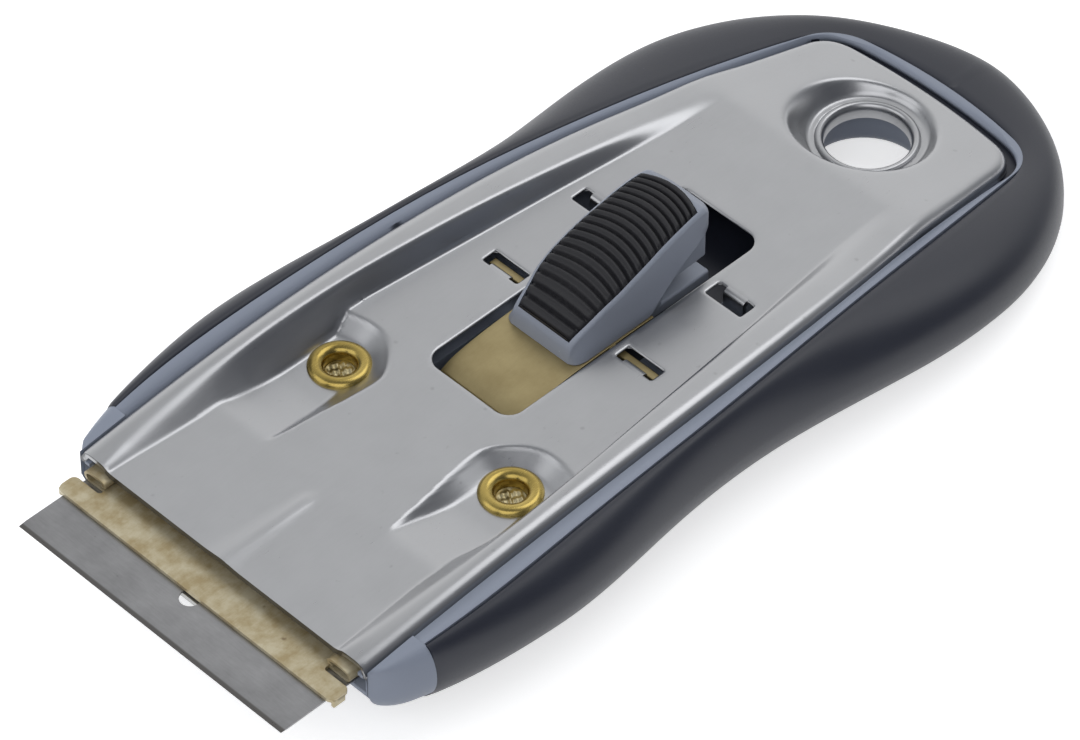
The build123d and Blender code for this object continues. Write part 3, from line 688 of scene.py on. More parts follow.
RECIPES: dict[Tone, SheetFinish | MouldedFinish | BladeFinish] = {
    Tone.PLATE: SheetFinish(
        light=(0.435, 0.44, 0.452),
        dark=(0.375, 0.379, 0.39),
        roughness=0.31,
        cloud=0.3,
        grain=0.35,
        speck=(0.2, 0.2, 0.2),
        speck_share=0.3,
        # Painted shade on the plate's front face at its front edge.
        shaded_front_x=FRONT_X,
    ),
    Tone.FRAME: MouldedFinish(
        light=(0.27, 0.30, 0.37),
        dark=(0.24, 0.27, 0.335),
        roughness=0.45,
        texture=0.005,
        texture_scale=6.0,
        specular=0.35,
    ),
    Tone.GRIP: MouldedFinish(
        light=(0.019, 0.022, 0.035),
        dark=(0.014, 0.0165, 0.027),
        roughness=0.42,
        texture=0.008,
        texture_scale=4.0,
        specular=0.5,
    ),
    Tone.RIVET: SheetFinish(
        light=(0.50, 0.38, 0.12),
        dark=(0.34, 0.25, 0.07),
        roughness=0.27,
        cloud=0.8,
        grain=0.6,
        speck=(0.10, 0.07, 0.03),
        speck_share=0.6,
    ),
    Tone.CORE: SheetFinish(
        light=(0.62, 0.55, 0.35),
        dark=(0.36, 0.30, 0.16),
        roughness=0.42,
        cloud=1.4,
        grain=1.2,
        speck=(0.10, 0.07, 0.03),
        speck_share=0.7,
    ),
    Tone.CARRIER: SheetFinish(
        light=(0.55, 0.49, 0.34),
        dark=(0.38, 0.30, 0.16),
        roughness=0.36,
        cloud=1.5,
        speck=(0.16, 0.10, 0.05),
        speck_share=0.7,
        metallic=0.45,
        patch=0.4,
    ),
    Tone.LEAF: SheetFinish(
        light=(0.40, 0.325, 0.165),
        dark=(0.31, 0.245, 0.115),
        roughness=0.36,
        cloud=0.9,
        grain=0.4,
        speck=(0.16, 0.11, 0.04),
        speck_share=0.3,
        metallic=0.6,
        patch=0.3,
    ),
    Tone.BLADE: BladeFinish(body=(0.285, 0.285, 0.29), edge=(0.13, 0.125, 0.12), edge_x=behind(-9.75)),
    Tone.HIDDEN: SheetFinish(light=(0.5, 0.5, 0.49), dark=(0.4, 0.4, 0.39), roughness=0.4),
    Tone.BUTTON: MouldedFinish(
        light=(0.30, 0.33, 0.395),
        dark=(0.265, 0.29, 0.35),
        roughness=0.42,
        texture=0.005,
        texture_scale=6.0,
        specular=0.35,
    ),
    Tone.PAD: MouldedFinish(
        light=(0.016, 0.016, 0.019),
        dark=(0.010, 0.010, 0.013),
        roughness=0.5,
        texture=0.02,
        texture_scale=7.0,
        specular=0.4,
    ),
}


class Finishes:
    """All materials, made once."""

    def __init__(self) -> None:
        """Build every finish."""
        self.made = {tone: recipe.make(tone.value) for tone, recipe in RECIPES.items()}

    def __getitem__(self, tone: Tone) -> bpy.types.Material:
        """Return one finish."""
        return self.made[tone]


@dataclass
class Piece:
    """A mesh under construction, with the body that it rides on."""

    name: str
    body: str
    points: list[tuple[float, float, float]] = field(default_factory=list)
    faces: list[tuple[int, ...]] = field(default_factory=list)

    def add(self, points: Sequence[Sequence[float]], faces: Sequence[Sequence[int]]) -> None:
        """Add points in millimetres and faces that count from the first of them.

        Args:
            points: Points in space.
            faces: Rows of point numbers.
        """
        start = len(self.points)
        self.points.extend((float(p[0]), float(p[1]), float(p[2])) for p in points)
        self.faces.extend(tuple(int(i) + start for i in face) for face in faces)

    def grid(self, rows: Sequence[np.ndarray], loop_rows: bool = False, loop_columns: bool = False) -> None:
        """Join rows of points into a sheet of four-sided faces.

        Args:
            rows: Rows of the same number of points.
            loop_rows: Whether the last row joins the first.
            loop_columns: Whether each row is closed.
        """
        count, width = len(rows), len(rows[0])
        faces = []
        for i in range(count if loop_rows else count - 1):
            for j in range(width if loop_columns else width - 1):
                a, b = i * width + j, i * width + (j + 1) % width
                c = ((i + 1) % count) * width
                faces.append((a, b, c + (j + 1) % width, c + j))
        self.add([p for row in rows for p in row], faces)

    def tube(self, rows: Sequence[np.ndarray], loop_columns: bool = True) -> None:
        """Join rows of points into a tube with one flat face at each end.

        Args:
            rows: Rows of the same number of points.
            loop_columns: Whether each row is closed.
        """
        self.grid(rows, loop_columns=loop_columns)
        size = len(rows[0])
        last = size * (len(rows) - 1)
        self.faces += [tuple(range(size)), tuple(range(last, last + size))[::-1]]

    def slab(self, rows: Sequence[np.ndarray]) -> None:
        """Join rows that run out on one side and back on the other, with four-sided faces at the ends.

        Args:
            rows: Rows of the same even number of points.
        """
        self.grid(rows, loop_columns=True)
        size = len(rows[0])
        for start in (0, size * (len(rows) - 1)):
            for i in range(size // 2 - 1):
                self.faces.append((start + i, start + i + 1, start + size - 2 - i, start + size - 1 - i))

    def between(self, first: Sequence[Sequence[float]], second: Sequence[Sequence[float]]) -> None:
        """Join two matching outlines into a closed solid.

        Args:
            first: One outline.
            second: The other, with as many points.
        """
        size = len(first)
        sides = [(i, (i + 1) % size, size + (i + 1) % size, size + i) for i in range(size)]
        self.add([*first, *second], [tuple(reversed(range(size))), tuple(range(size, 2 * size)), *sides])

    def prism(
        self, outline: Table, low: float, high: float, shift: Callable[[float, float], float] | None = None
    ) -> None:
        """Raise a plan outline between two heights.

        Args:
            outline: Plan points.
            low: Height of the bottom.
            high: Height of the top.
            shift: A rule from plan place to what is added to both heights.
        """
        moved = shift or (lambda x, y: 0.0)
        bottom, top = ([(x, y, z + moved(x, y)) for x, y in outline] for z in (low, high))
        self.between(bottom, top)

    def profile(self, outline: Table, half_width: float, centre_y: float = 0.0) -> None:
        """Extend a side-view outline of x and z across the width."""
        near, far = ([(x, centre_y + out, z) for x, z in outline] for out in (-half_width, half_width))
        self.between(near, far)

    def turned(self, profile: Table, centre: Sequence[float], count: int = 64) -> None:
        """Turn a profile of radius and height about an upright axis.

        Args:
            profile: Pairs of radius and height.
            centre: Plan place of the axis.
            count: Steps round the axis.
        """
        rows = []
        for k in range(count):
            angle = 2.0 * math.pi * k / count
            across, along_y = math.cos(angle), math.sin(angle)
            rows.append(np.array([(centre[0] + r * across, centre[1] + r * along_y, z) for r, z in profile]))
        self.grid(rows, loop_rows=True)

    def build(self, material: bpy.types.Material, sharp: float = 35.0, weld: float = 0.002) -> bpy.types.Object:
        """Make the object.

        Args:
            material: Its finish.
            sharp: Edges over this angle in degrees stay sharp.
            weld: Points nearer than this many millimetres become one.

        Returns:
            The object, riding on its body.
        """
        mesh = bpy.data.meshes.new(self.name)
        mesh.from_pydata([(x * MM, y * MM, z * MM) for x, y, z in self.points], [], self.faces)
        made = bmesh.new()
        made.from_mesh(mesh)
        bmesh.ops.remove_doubles(made, verts=made.verts, dist=weld * MM)
        bmesh.ops.dissolve_degenerate(made, edges=made.edges, dist=0.2 * weld * MM)
        bmesh.ops.recalc_face_normals(made, faces=made.faces)
        shade(made, sharp)
        made.to_mesh(mesh)
        made.free()
        mesh.materials.append(material)
        piece = placed(self.name, mesh)
        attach(piece, self.body)
        LOG.info("built %s with %d faces", self.name, len(mesh.polygons))
        return piece


def placed(name: str, data: bpy.types.ID) -> bpy.types.Object:
    """Add an object with its data to the scene.

    Args:
        name: Its name.
        data: Its mesh, lamp or camera.

    Returns:
        The object.
    """
    made = bpy.data.objects.new(name, data)
    bpy.context.scene.collection.objects.link(made)
    return made


def shade(mesh: bmesh.types.BMesh, sharp: float) -> None:
    """Shade a mesh smooth, apart from edges over an angle.

    Args:
        mesh: The mesh being edited.
        sharp: The angle in degrees.
    """
    for face in mesh.faces:
        face.smooth = True
    limit = math.radians(sharp)
    for edge in mesh.edges:
        edge.smooth = len(edge.link_faces) == 2 and edge.calc_face_angle(0.0) < limit


def soften(piece: bpy.types.Object, width: float, segments: int = 3, angle: float = 35.0) -> bpy.types.Object:
    """Round a piece's sharp edges with a bevel.

    Args:
        piece: The piece.
        width: Bevel width in millimetres.
        segments: Steps across the bevel.
        angle: Only edges over this angle in degrees are rounded.

    Returns:
        The same piece.
    """
    bevel = piece.modifiers.new("round", "BEVEL")
    bevel.width = width * MM
    bevel.segments = segments
    bevel.limit_method = "ANGLE"
    bevel.angle_limit = math.radians(angle)
    bevel.harden_normals = True
    bevel.use_clamp_overlap = True
    return piece


def sunk_by(piece: bpy.types.Object, cutter: bpy.types.Object) -> None:
    """Cut one closed mesh out of a piece, and remove the cutter.

    Args:
        piece: The piece, whose modifiers are applied first.
        cutter: What is cut out.
    """
    cut = piece.modifiers.new("cut", "BOOLEAN")
    cut.operation = "DIFFERENCE"
    cut.solver = "EXACT"
    cut.object = cutter
    depsgraph = bpy.context.evaluated_depsgraph_get()
    result = bpy.data.meshes.new_from_object(piece.evaluated_get(depsgraph))
    piece.modifiers.clear()
    piece.data = result
    bpy.data.objects.remove(cutter, do_unlink=True)


def open_strip(row: Table, thickness: float) -> np.ndarray:
    """Give a curve its thickness, as a closed outline out on one side and back on the other.

    Args:
        row: Points of the curve.
        thickness: How thick.

    Returns:
        The closed outline.
    """
    line = np.asarray(row, float)
    side = directions(line)[1] * 0.5 * thickness
    return np.vstack([line + side, (line - side)[::-1]])


def rounded_end(line: np.ndarray, radius: float, bow: float) -> np.ndarray:
    """Close a side line to the centreline with a rounded corner and a bowed end.

    Args:
        line: Plan points of the side, whose last is the corner.
        radius: The corner's radius.
        bow: How far the end bulges at the centreline.

    Returns:
        The side with its corner and half of the end.
    """
    corner = line[-1]
    shares = [k / 20.0 for k in range(21)]
    end = [(corner[0] + bow * (1.0 - (share - 1.0) ** 2), corner[1] * (1.0 - share)) for share in shares]
    flat = np.asarray([tuple(p) for p in line[:-1]] + end)
    run = lengths(flat)
    at = run[len(line) - 1]
    places = (at - radius, at + radius)
    first, last = (np.array([np.interp(place, run, flat[:, k]) for k in range(2)]) for place in places)
    turn = [(1 - t) ** 2 * first + 2 * t * (1 - t) * corner + t * t * last for t in np.linspace(0.0, 1.0, 13)]
    spare = 0.05
    return np.vstack([flat[run < at - radius - spare], turn, flat[run > at + radius + spare]])


@dataclass
class HandleForm:
    """The rounded outer form that the frame and the grip share.

    Shares are of a length or half width. A row of fullness holds an x and there the shoulder above
    the widest line, the belly below it, and how far the belly turns in, each a share of its height.
    """

    half_width: float = 28.15
    length: float = 118.4
    outline_shares: Pairs = (
        (-0.03, 0.773), (0.02, 0.849), (0.1014, 0.945), (0.2027, 0.996), (0.3547, 0.935), (0.4899, 0.913),
        (0.6081, 0.956), (0.7095, 0.985), (0.7939, 0.948), (0.8682, 0.824), (0.9316, 0.616), (0.9806, 0.316),
        (1.0, 0.0),
    )
    fullness: tuple[tuple[float, float, float, float], ...] = (
        (-57.6, 0.56, 0.85, 1.32), (-44.6, 0.56, 0.78, 1.25), (-32.4, 0.54, 0.58, 1.19),
        (-20.1, 0.49, 0.55, 1.18), (-6.4, 0.27, 0.59, 1.19), (8.7, 0.36, 0.66, 1.24),
        (23.7, 0.76, 0.72, 1.42), (37.4, 1.0, 0.63, 1.59), (49.0, 1.0, 0.55, 1.52),
        (57.4, 1.0, 0.53, 1.41), (64.4, 1.0, 0.56, 1.4),
    )
    rim_shares: Pairs = (
        (0.0, 0.945), (0.11, 1.0), (0.28, 0.99), (0.46, 0.948), (0.655, 0.855), (0.855, 0.732), (0.985, 0.63),
    )
    rim_length: float = 109.2
    rim_half_width: float = 23.85
    rim_corner: float = 6.0
    rim_bow: float = 2.2
    nose_flare: float = 0.13
    sole_inset: float = 6.0

    def outline(self, count: int) -> np.ndarray:
        """Return points along the widest line from the nose to the tail.

        Args:
            count: How many points.

        Returns:
            The plan points.
        """
        points = [(behind(a * self.length), w * self.half_width) for a, w in self.outline_shares]
        start = np.array([1.0, self.nose_flare]) / math.hypot(1.0, self.nose_flare)
        return curve_through(points, count, start, (0.0, -1.0))

    def rim(self, count: int = 400) -> np.ndarray:
        """Return points along the grey rim's outer line, from the nose to the centre of the rear."""
        side = [(behind(a * self.rim_length), w * self.rim_half_width) for a, w in self.rim_shares]
        return rounded_end(curve_through(side, count), self.rim_corner, self.rim_bow)

    def curves(self, x: float, inset: float, heights: tuple[float, float, float], count: int) -> np.ndarray:
        """Return a section of the outer form.

        Args:
            x: Where the section is.
            inset: Distance from the widest line in to the rim line.
            heights: z of the rim line, of the widest line and of the sole.
            count: Points on each of the two curves.

        Returns:
            Points as distance out from the widest line and z, from the rim to the sole.
        """
        top, middle, low = heights
        shoulder, belly, turn = (along(column(self.fullness, k), x) for k in (1, 2, 3))
        drop = middle - low
        turn_in = turn * drop
        full = middle + shoulder * (top - middle)
        upper = bezier([(-inset, top), (-0.5 * inset, top), (0.0, full), (0.0, middle)], count)
        pull = [(0.0, middle), (0.0, middle - belly * drop), (-0.7 * turn_in, low), (-turn_in, low)]
        lower = bezier(pull, count)
        return np.vstack([upper, lower[1:]])

    def section(self, spot: np.ndarray, outward: np.ndarray, inset: float, count: int) -> np.ndarray:
        """Return the surface's points from the rim line round to the sole.

        Args:
            spot: Plan point on the widest line.
            outward: Plan direction square to that line.
            inset: Distance in to the rim line.
            count: Points on each of the two curves.

        Returns:
            Points in space.
        """
        top = above(rim_height(spot[0] - outward[0] * inset))
        low = sole_z(spot[0] - outward[0] * self.sole_inset)
        flat = self.curves(spot[0], inset, (top, girth_z(spot[0]), low), count)
        plan = spot[None, :] + outward[None, :] * flat[:, :1]
        return np.column_stack([plan, flat[:, 1]])


@dataclass
class Grip:
    """The charcoal grip round and under the frame, which ends a little short of the rim at a seam."""

    form: HandleForm
    nose_x: float = behind(6.5)
    lead: float = 0.8
    spacing: float = 0.3
    stations: int = 150
    detail: int = 15
    ceiling: float = above(-5.6)
    tube_radius: float = 8.7
    tube_reach: tuple[float, float] = (-2.0, 11.0)
    seam: float = 0.5
    seam_falls: Pairs = ((1.0, 0.5), (0.7, 0.15))
    least_inset: float = 0.3
    widest_inset: float = 16.0
    usual_inset: float = 9.0

    def build(self, finishes: Finishes) -> bpy.types.Object:
        """Build the grip as one closed form with a hole for the frame's tube.

        Args:
            finishes: All finishes.

        Returns:
            The grip.
        """
        line, rim = self.form.outline(self.stations), self.form.rim()
        rows = []
        for spot, ahead, out in zip(line, *directions(line)):
            if spot[0] >= self.nose_x - self.lead:
                rows.append(self.row(spot, out, self.inset(rim, spot, ahead, out)))
        first = rows[0]
        first[:, 0] = self.nose_x
        kept = [first] + [row for row in rows[1:] if row[:, 0].min() > self.nose_x + self.spacing]
        piece = Piece("grip", "handle")
        piece.tube(kept + [row * np.array([1.0, -1.0, 1.0]) for row in kept[-2::-1]], loop_columns=False)
        made = piece.build(finishes[Tone.GRIP], 50.0, 0.01)
        tube = Piece("tube_cutter", "handle")
        low, high = self.tube_reach
        wall = [(0.0, low), (self.tube_radius, low), (self.tube_radius, high), (0.0, high)]
        tube.turned(wall, (HOLE_X, 0.0), 72)
        sunk_by(made, tube.build(finishes[Tone.GRIP]))
        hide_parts("grip")
        return made

    def row(self, spot: np.ndarray, outward: np.ndarray, inset: float) -> np.ndarray:
        """Return one half section, from the centreline above round to the centreline below.

        Args:
            spot: Plan point on the widest line.
            outward: Plan direction square to that line.
            inset: Distance in to the rim line.

        Returns:
            Points in space.
        """
        skin = self.form.section(spot, outward, max(self.least_inset, inset - self.seam), self.detail)
        top, low = skin[0], skin[-1]
        lead = []
        for share, fall in self.seam_falls:
            place = top[:2] - outward * (share * self.seam)
            lead.append((place[0], place[1], top[2] - fall))
        inner = [(lead[0][0], 0.0, self.ceiling), (lead[0][0], lead[0][1], self.ceiling)]
        return np.vstack([inner, lead, skin, [(low[0], 0.0, low[2])]])

    def inset(self, rim: np.ndarray, spot: np.ndarray, ahead: np.ndarray, outward: np.ndarray) -> float:
        """Find how far in from a point on the widest line the rim line lies.

        Args:
            rim: The rim line.
            spot: The point on the widest line.
            ahead: Plan direction along that line.
            outward: Plan direction square to it.

        Returns:
            The distance.
        """
        local = rim - spot
        v, u = local @ ahead, local @ outward
        for i in range(len(rim) - 1):
            if v[i] * v[i + 1] <= 0.0 and -self.widest_inset < u[i] < 0.5:
                share = v[i] / (v[i] - v[i + 1]) if v[i] != v[i + 1] else 0.0
                return max(self.least_inset, -(u[i] + share * (u[i + 1] - u[i])))
        return self.usual_inset


@dataclass
class Noses:
    """The two blunt front ends of the grey frame, beside the plate."""

    form: HandleForm
    inner: float = 21.82
    length: float = 6.45
    lift: tuple[float, float] = (3.5, 5.0)
    lift_slope: float = 0.28
    narrowing: tuple[float, float] = (1.5, 4.0)
    ahead: float = -4.0
    reach: float = 32.0
    cut_heights: tuple[float, float] = (-6.0, 22.0)
    detail: int = 24
    ring: int = 40

    def build(self, finishes: Finishes, frame: bpy.types.Object) -> None:
        """Build both noses and cut the frame's plain ones away.

        Args:
            finishes: All finishes.
            frame: The grey frame's piece.
        """
        outline, rim = self.form.outline(300), self.form.rim()
        base, span = self.lift
        below, over = self.cut_heights
        front, rear = behind(self.ahead), behind(self.length)
        edge = [(behind(d), self.low(d) + self.lift_slope * (span - d)) for d in np.linspace(0.0, span, 14)]
        under = Piece("underside_cutter", "handle")
        side = [(front, below), (front, edge[0][1]), *edge, (rear, base), (rear, below)]
        under.profile(side, self.reach + 2.0)
        sunk_by(frame, under.build(finishes[Tone.FRAME]))
        for side, sign in SIDES:
            near, far = sign * self.inner, sign * self.reach
            cutter = Piece("nose_cutter", "handle")
            cutter.prism([(front, near), (rear, near), (rear, far), (front, far)], below, over)
            sunk_by(frame, cutter.build(finishes[Tone.FRAME]))
            piece = Piece(f"nose_{side}", "handle")
            places = [0.0, 0.06, 0.2, 0.45, 0.8, *np.linspace(1.3, self.length, 12)]
            piece.tube([self.row(d, sign, outline, rim) for d in places])
            piece.build(finishes[Tone.FRAME], 50.0)

    def low(self, d: float) -> float:
        """Return the z of a nose's underside."""
        base, span = self.lift
        return base + span * fillet((span - d) / span)

    def row(self, d: float, sign: float, outline: np.ndarray, rim: np.ndarray) -> np.ndarray:
        """Return one closed section of a nose.

        Args:
            d: Distance behind the plate's front edge.
            sign: 1 on the left and -1 on the right.
            outline: The form's widest line.
            rim: The form's rim line.

        Returns:
            Points in space.
        """
        x = behind(d)
        sunk, ahead = self.narrowing
        width = float(np.interp(x, outline[:120, 0], outline[:120, 1]))
        width -= sunk * fillet((ahead - d) / ahead)
        middle = girth_z(x)
        low = min(middle - 0.4, self.low(d))
        inset = max(0.4, width - float(np.interp(x, rim[:150, 0], rim[:150, 1])))
        flat = self.form.curves(x, inset, (above(float(rim_height(x))), middle, low), self.detail)
        flat = flat + np.array([width, 0.0])
        kept = [tuple(p) for p in flat if p[0] > self.inner + 0.02]
        end = low
        last = next((i for i in range(self.detail, len(flat)) if flat[i, 0] <= self.inner), None)
        if last is not None:
            end = float(np.interp(self.inner, flat[[last, last - 1], 0], flat[[last, last - 1], 1]))
        path = np.array([(self.inner, flat[0, 1]), *kept, (self.inner, end)])
        run = lengths(path)
        even = np.linspace(0.0, run[-1], self.ring)
        y, z = np.interp(even, run, path[:, 0]), np.interp(even, run, path[:, 1])
        return np.column_stack([np.full(self.ring, x), sign * y, z])


@dataclass
class RimGroove:
    """The narrow groove in the frame's top between the plate and the grey rim, widest round the rear."""

    widths: Pairs = ((0.0, 0.3), (80.0, 0.35), (98.0, 0.8), (106.0, 1.15), (110.0, 1.2))
    depth: float = 1.7
    tall: float = 5.0
    inward: float = 0.25
    start: float = -1.0

    def cut(self, frame: bpy.types.Object, line: np.ndarray, finishes: Finishes) -> None:
        """Cut the groove along the plate's outline.

        Args:
            frame: The grey frame's piece.
            line: Half of the plate's outline, from the front to the centre of the rear.
            finishes: All finishes.
        """
        ring = np.vstack([line, line[-2::-1] * np.array([1.0, -1.0])])
        ring[0, 0] = ring[-1, 0] = behind(self.start)
        rows = []
        for spot, out in zip(ring, directions(ring)[1]):
            low = above(float(rim_height(spot[0]))) - self.depth
            high = low + self.tall
            inner, outer = spot - out * self.inward, spot + out * along(self.widths, spot[0] - FRONT_X)
            rows.append(np.array([(*inner, low), (*outer, low), (*outer, high), (*inner, high)]))
        piece = Piece("groove_cutter", "handle")
        piece.tube(rows)
        sunk_by(frame, piece.build(finishes[Tone.FRAME]))
        LOG.info("cut the groove beside the rim")


@dataclass
class Plate:
    """The pressed stainless top plate.

    Tables give a distance behind the front edge and a value there. The bead's wall runs from root to
    shoulder. Pockets lie round the rivets, and the dish is the cone down to the hanging hole.
    """

    length: float = 106.7
    half_width: float = 21.7
    thickness: float = 0.7
    shares: Pairs = ((0.0, 1.0), (0.3, 0.995), (0.487, 0.958), (0.675, 0.878), (0.84, 0.763), (0.99, 0.66))
    corner: float = 3.6
    bow: float = 1.3
    root: Pairs = (
        (0.0, 17.3), (8.0, 16.8), (12.5, 16.6), (16.5, 16.8), (20.0, 17.3), (23.0, 17.5), (27.0, 17.4),
        (33.0, 17.4), (36.0, 17.35), (40.0, 17.0), (46.0, 16.4), (52.0, 15.8), (62.0, 14.8), (72.0, 13.6),
        (79.0, 12.7), (86.0, 12.1),
    )
    shoulder: Pairs = (
        (0.0, 18.0), (8.0, 18.8), (17.0, 19.15), (24.0, 19.15), (30.0, 18.95), (35.0, 18.65), (42.5, 18.0),
        (52.0, 17.1), (62.0, 16.0), (72.0, 14.9), (82.0, 13.9), (90.0, 13.4),
    )
    pocket_edge: Pairs = (
        (13.7, 9.3), (15.0, 9.1), (19.0, 8.6), (22.3, 8.2), (25.0, 7.7), (27.6, 7.4), (30.0, 7.4), (32.5, 8.8),
        (34.6, 11.5), (34.9, 14.8), (34.4, 17.0), (34.0, 19.0),
    )
    pocket_slope: Pairs = ((14.0, 1.0), (21.0, 0.95), (26.5, 0.6), (35.0, 0.62))
    pocket_depth: float = 1.6
    pocket_ramp: tuple[float, float] = (13.5, 10.5)
    pocket_zone: tuple[float, float, float] = (12.0, 37.0, 6.6)
    roll: Pairs = ((0.0, 1.7), (40.0, 1.6), (75.0, 1.2), (106.0, 1.0))
    roll_drop: float = 1.25
    hem: float = 1.15
    crease: float = 87.0
    crease_blend: float = 0.07
    rear_lift: tuple[float, float] = (0.45, 5.0)
    bead_blend: float = 0.55
    foot_blend: float = 0.1
    ridge_end: float = 14.4
    ridge_height: float = 0.22
    dish_floor: float = -4.7
    dish_slope: float = 1.62
    dish_radii: tuple[float, float] = (6.7, 14.0)
    dish_blend: float = 0.42
    hole_radius: float = 5.8
    rivet_radius: float = 2.7
    opening: tuple[float, float, float, float] = (35.1, 73.4, 6.4, 2.0)
    slots: tuple[float, float, float, float] = (49.9, 52.0, 63.4, 65.7)
    slot_y: tuple[float, float] = (7.5, 12.8)
    insets: tuple[float, ...] = (0.0, 0.1, 0.25, 0.45, 0.7, 1.0, 1.35, 1.7)
    ring_profile: Pairs = (
        (5.9, -5.2), (5.9, -4.72), (5.84, -4.55), (5.7, -4.42), (5.5, -4.37), (5.3, -4.4), (5.12, -4.52),
        (4.97, -4.8), (4.9, -5.2), (4.87, -6.25), (5.4, -6.25), (5.45, -5.25), (5.9, -5.2),
    )
    tongue_bend: Pairs = (
        (-0.3, 0.0), (0.05, -0.01), (0.3, -0.06), (0.52, -0.2), (0.66, -0.42), (0.7, -0.7), (0.7, -2.3),
        (0.12, -2.3), (0.1, -0.75), (-0.3, -0.7),
    )

    def side(self, inset: float, count: int) -> np.ndarray:
        """Return the plan outline of one half, moved in by an inset.

        Args:
            inset: How far in.
            count: Points along the side.

        Returns:
            Plan points from the front to the centre of the rear.
        """
        points = [(behind(a * self.length), w * self.half_width - inset) for a, w in self.shares]
        points[-1] = (points[-1][0] - inset, points[-1][1])
        return rounded_end(curve_through(points, count), self.corner, self.bow)

    def pocket(self, x: np.ndarray, y: np.ndarray) -> np.ndarray:
        """Return the depth of the rivet pockets.

        Args:
            x: Plan places.
            y: Plan places.

        Returns:
            Depths, 0 outside the pockets.
        """
        d, side = x - FRONT_X, np.abs(y)
        line = curve_through(self.pocket_edge, 90)
        depth = np.zeros_like(d)
        front, rear, inner = self.pocket_zone
        near = (d > front) & (d < rear + 1.0) & (side > inner - 0.1)
        spots = np.column_stack([d[near], side[near]])
        within = contains(np.vstack([line, [(10.0, 24.0)], [self.pocket_edge[0]]]), spots)
        wall = gap(spots, line) * flow(self.pocket_slope, spots[:, 0])
        begin, reach = self.pocket_ramp
        ramp = self.pocket_depth * smooth((spots[:, 0] - begin) / reach)
        sunk = np.maximum(0.0, lesser(wall, ramp, 0.12))
        sunk = sunk * smooth(sunk / 0.3) ** 0.5
        depth[near] = np.where(within, sunk, 0.0)
        return depth

    def height(self, x: np.ndarray, y: np.ndarray) -> np.ndarray:
        """Return the height of the plate's top above the sunk floor.

        Args:
            x: Plan places.
            y: Plan places.

        Returns:
            Heights.
        """
        d, side = x - FRONT_X, np.abs(y)
        lift, reach = self.rear_lift
        shell = shell_height(x) + lift * np.exp(-(((d - self.crease) / reach) ** 2))
        floor = lesser(shell, 0.0, self.crease_blend)
        crest = np.maximum(0.02, shell - floor)
        root = flow(self.root, d)
        wall = (side - root) / (flow(self.shoulder, d) - root) * crest
        rise = lesser(wall, crest, self.bead_blend * np.minimum(1.0, crest))
        base = floor - self.pocket(x, y)
        height = -lesser(-base, -(floor + rise), self.foot_blend * np.minimum(1.0, crest))
        height = height - self.rolled(np.column_stack([x, side])) + self.ridge(d, side)
        inner, outer = self.dish_radii
        cone = self.dish_floor + self.dish_slope * np.maximum(0.0, np.hypot(x - HOLE_X, y) - inner)
        return np.where(np.abs(x - HOLE_X) < outer, lesser(height, cone, self.dish_blend), height)

    def rolled(self, spots: np.ndarray) -> np.ndarray:
        """Return how far the sheet has rolled down towards its outer edge.

        Args:
            spots: Plan points of the left half.

        Returns:
            Drops, 0 away from the edge.
        """
        radius = flow(self.roll, spots[:, 0] - FRONT_X)
        edge = np.clip(gap(spots, self.side(0.0, 200)) / radius, 0.0, 1.0)
        return self.roll_drop * (1.0 - np.sqrt(np.maximum(0.0, 1.0 - (1.0 - edge) ** 2)))

    def ridge(self, d: np.ndarray, side: np.ndarray) -> np.ndarray:
        """Return the faint pressed ridge that widens towards the front edge.

        Args:
            d: Distances behind the front edge.
            side: Distances from the centreline.

        Returns:
            Heights, 0 away from the ridge.
        """
        ahead = np.clip((self.ridge_end - d) / self.ridge_end, 0.0, 1.0)
        return self.ridge_height * np.clip(1.0 - side / (0.7 + 1.7 * ahead), 0.0, 1.0) * smooth(5.0 * ahead)

    def cuts(self) -> list[list[tuple[float, float]]]:
        """Return the plan outlines of everything cut through the sheet."""
        x0, x1, w, r = self.opening
        front, rear = behind(x0), behind(x1)
        made = [rounded([(front, -w), (rear, -w), (rear, w), (front, w)], r, 8)]
        low, high = self.slot_y
        for _, sign in SIDES:
            for first, last in (self.slots[:2], self.slots[2:]):
                a, b = behind(first), behind(last)
                slot = [(a, sign * low), (b, sign * low), (b, sign * high), (a, sign * high)]
                made.append(rounded(slot, 0.25, 3))
            made.append(circle((behind(RIVET_D), sign * RIVET_Y), self.rivet_radius, 40))
        made.append(circle((HOLE_X, 0.0), self.hole_radius, 80))
        return made

    def lattice(self) -> np.ndarray:
        """Return plan points in rows that follow the beads, closer where the sheet bends."""
        made: list[tuple[float, float]] = []
        table = [(a * self.length, w * self.half_width) for a, w in self.shares]
        front, rear, inner = self.pocket_zone
        outer, step = 18.2, 0.3
        for d in np.arange(0.45, self.length - 0.5, 0.5):
            limit, root = along(table, d) - 1.95, along(self.root, d)
            marks = [*np.linspace(0.0, root - 0.35, 26), *np.linspace(root - 0.1, limit, 17)]
            if front < d < rear:
                marks = [m for m in marks if m < inner or m > outer]
            made += [(behind(d), sign * m) for m in marks for sign in (1.0, -1.0) if m > 0.0 or sign > 0.0]
        fine = np.arange(inner + 0.2, outer + 0.1, step)
        for d in np.arange(front + 0.1, rear, step):
            made += [(behind(d), sign * m) for m in fine for sign in (1.0, -1.0)]
        spots = np.array(made)
        spots = spots[np.hypot(spots[:, 0] - HOLE_X, spots[:, 1]) > 11.0]
        rings = [circle((HOLE_X, 0.0), r, 96) for r in np.arange(6.15, 10.9, step)]
        return np.vstack([spots, *rings])

    def loops(self) -> list[list[tuple[float, float]]]:
        """Return the plan outline, and copies further in across the rolled edge."""
        made = []
        for inset in self.insets:
            half = self.side(inset, 190)
            half[0, 0] = FRONT_X
            made.append([tuple(p) for p in half] + [(x, -y) for x, y in half[-2::-1]])
        return made

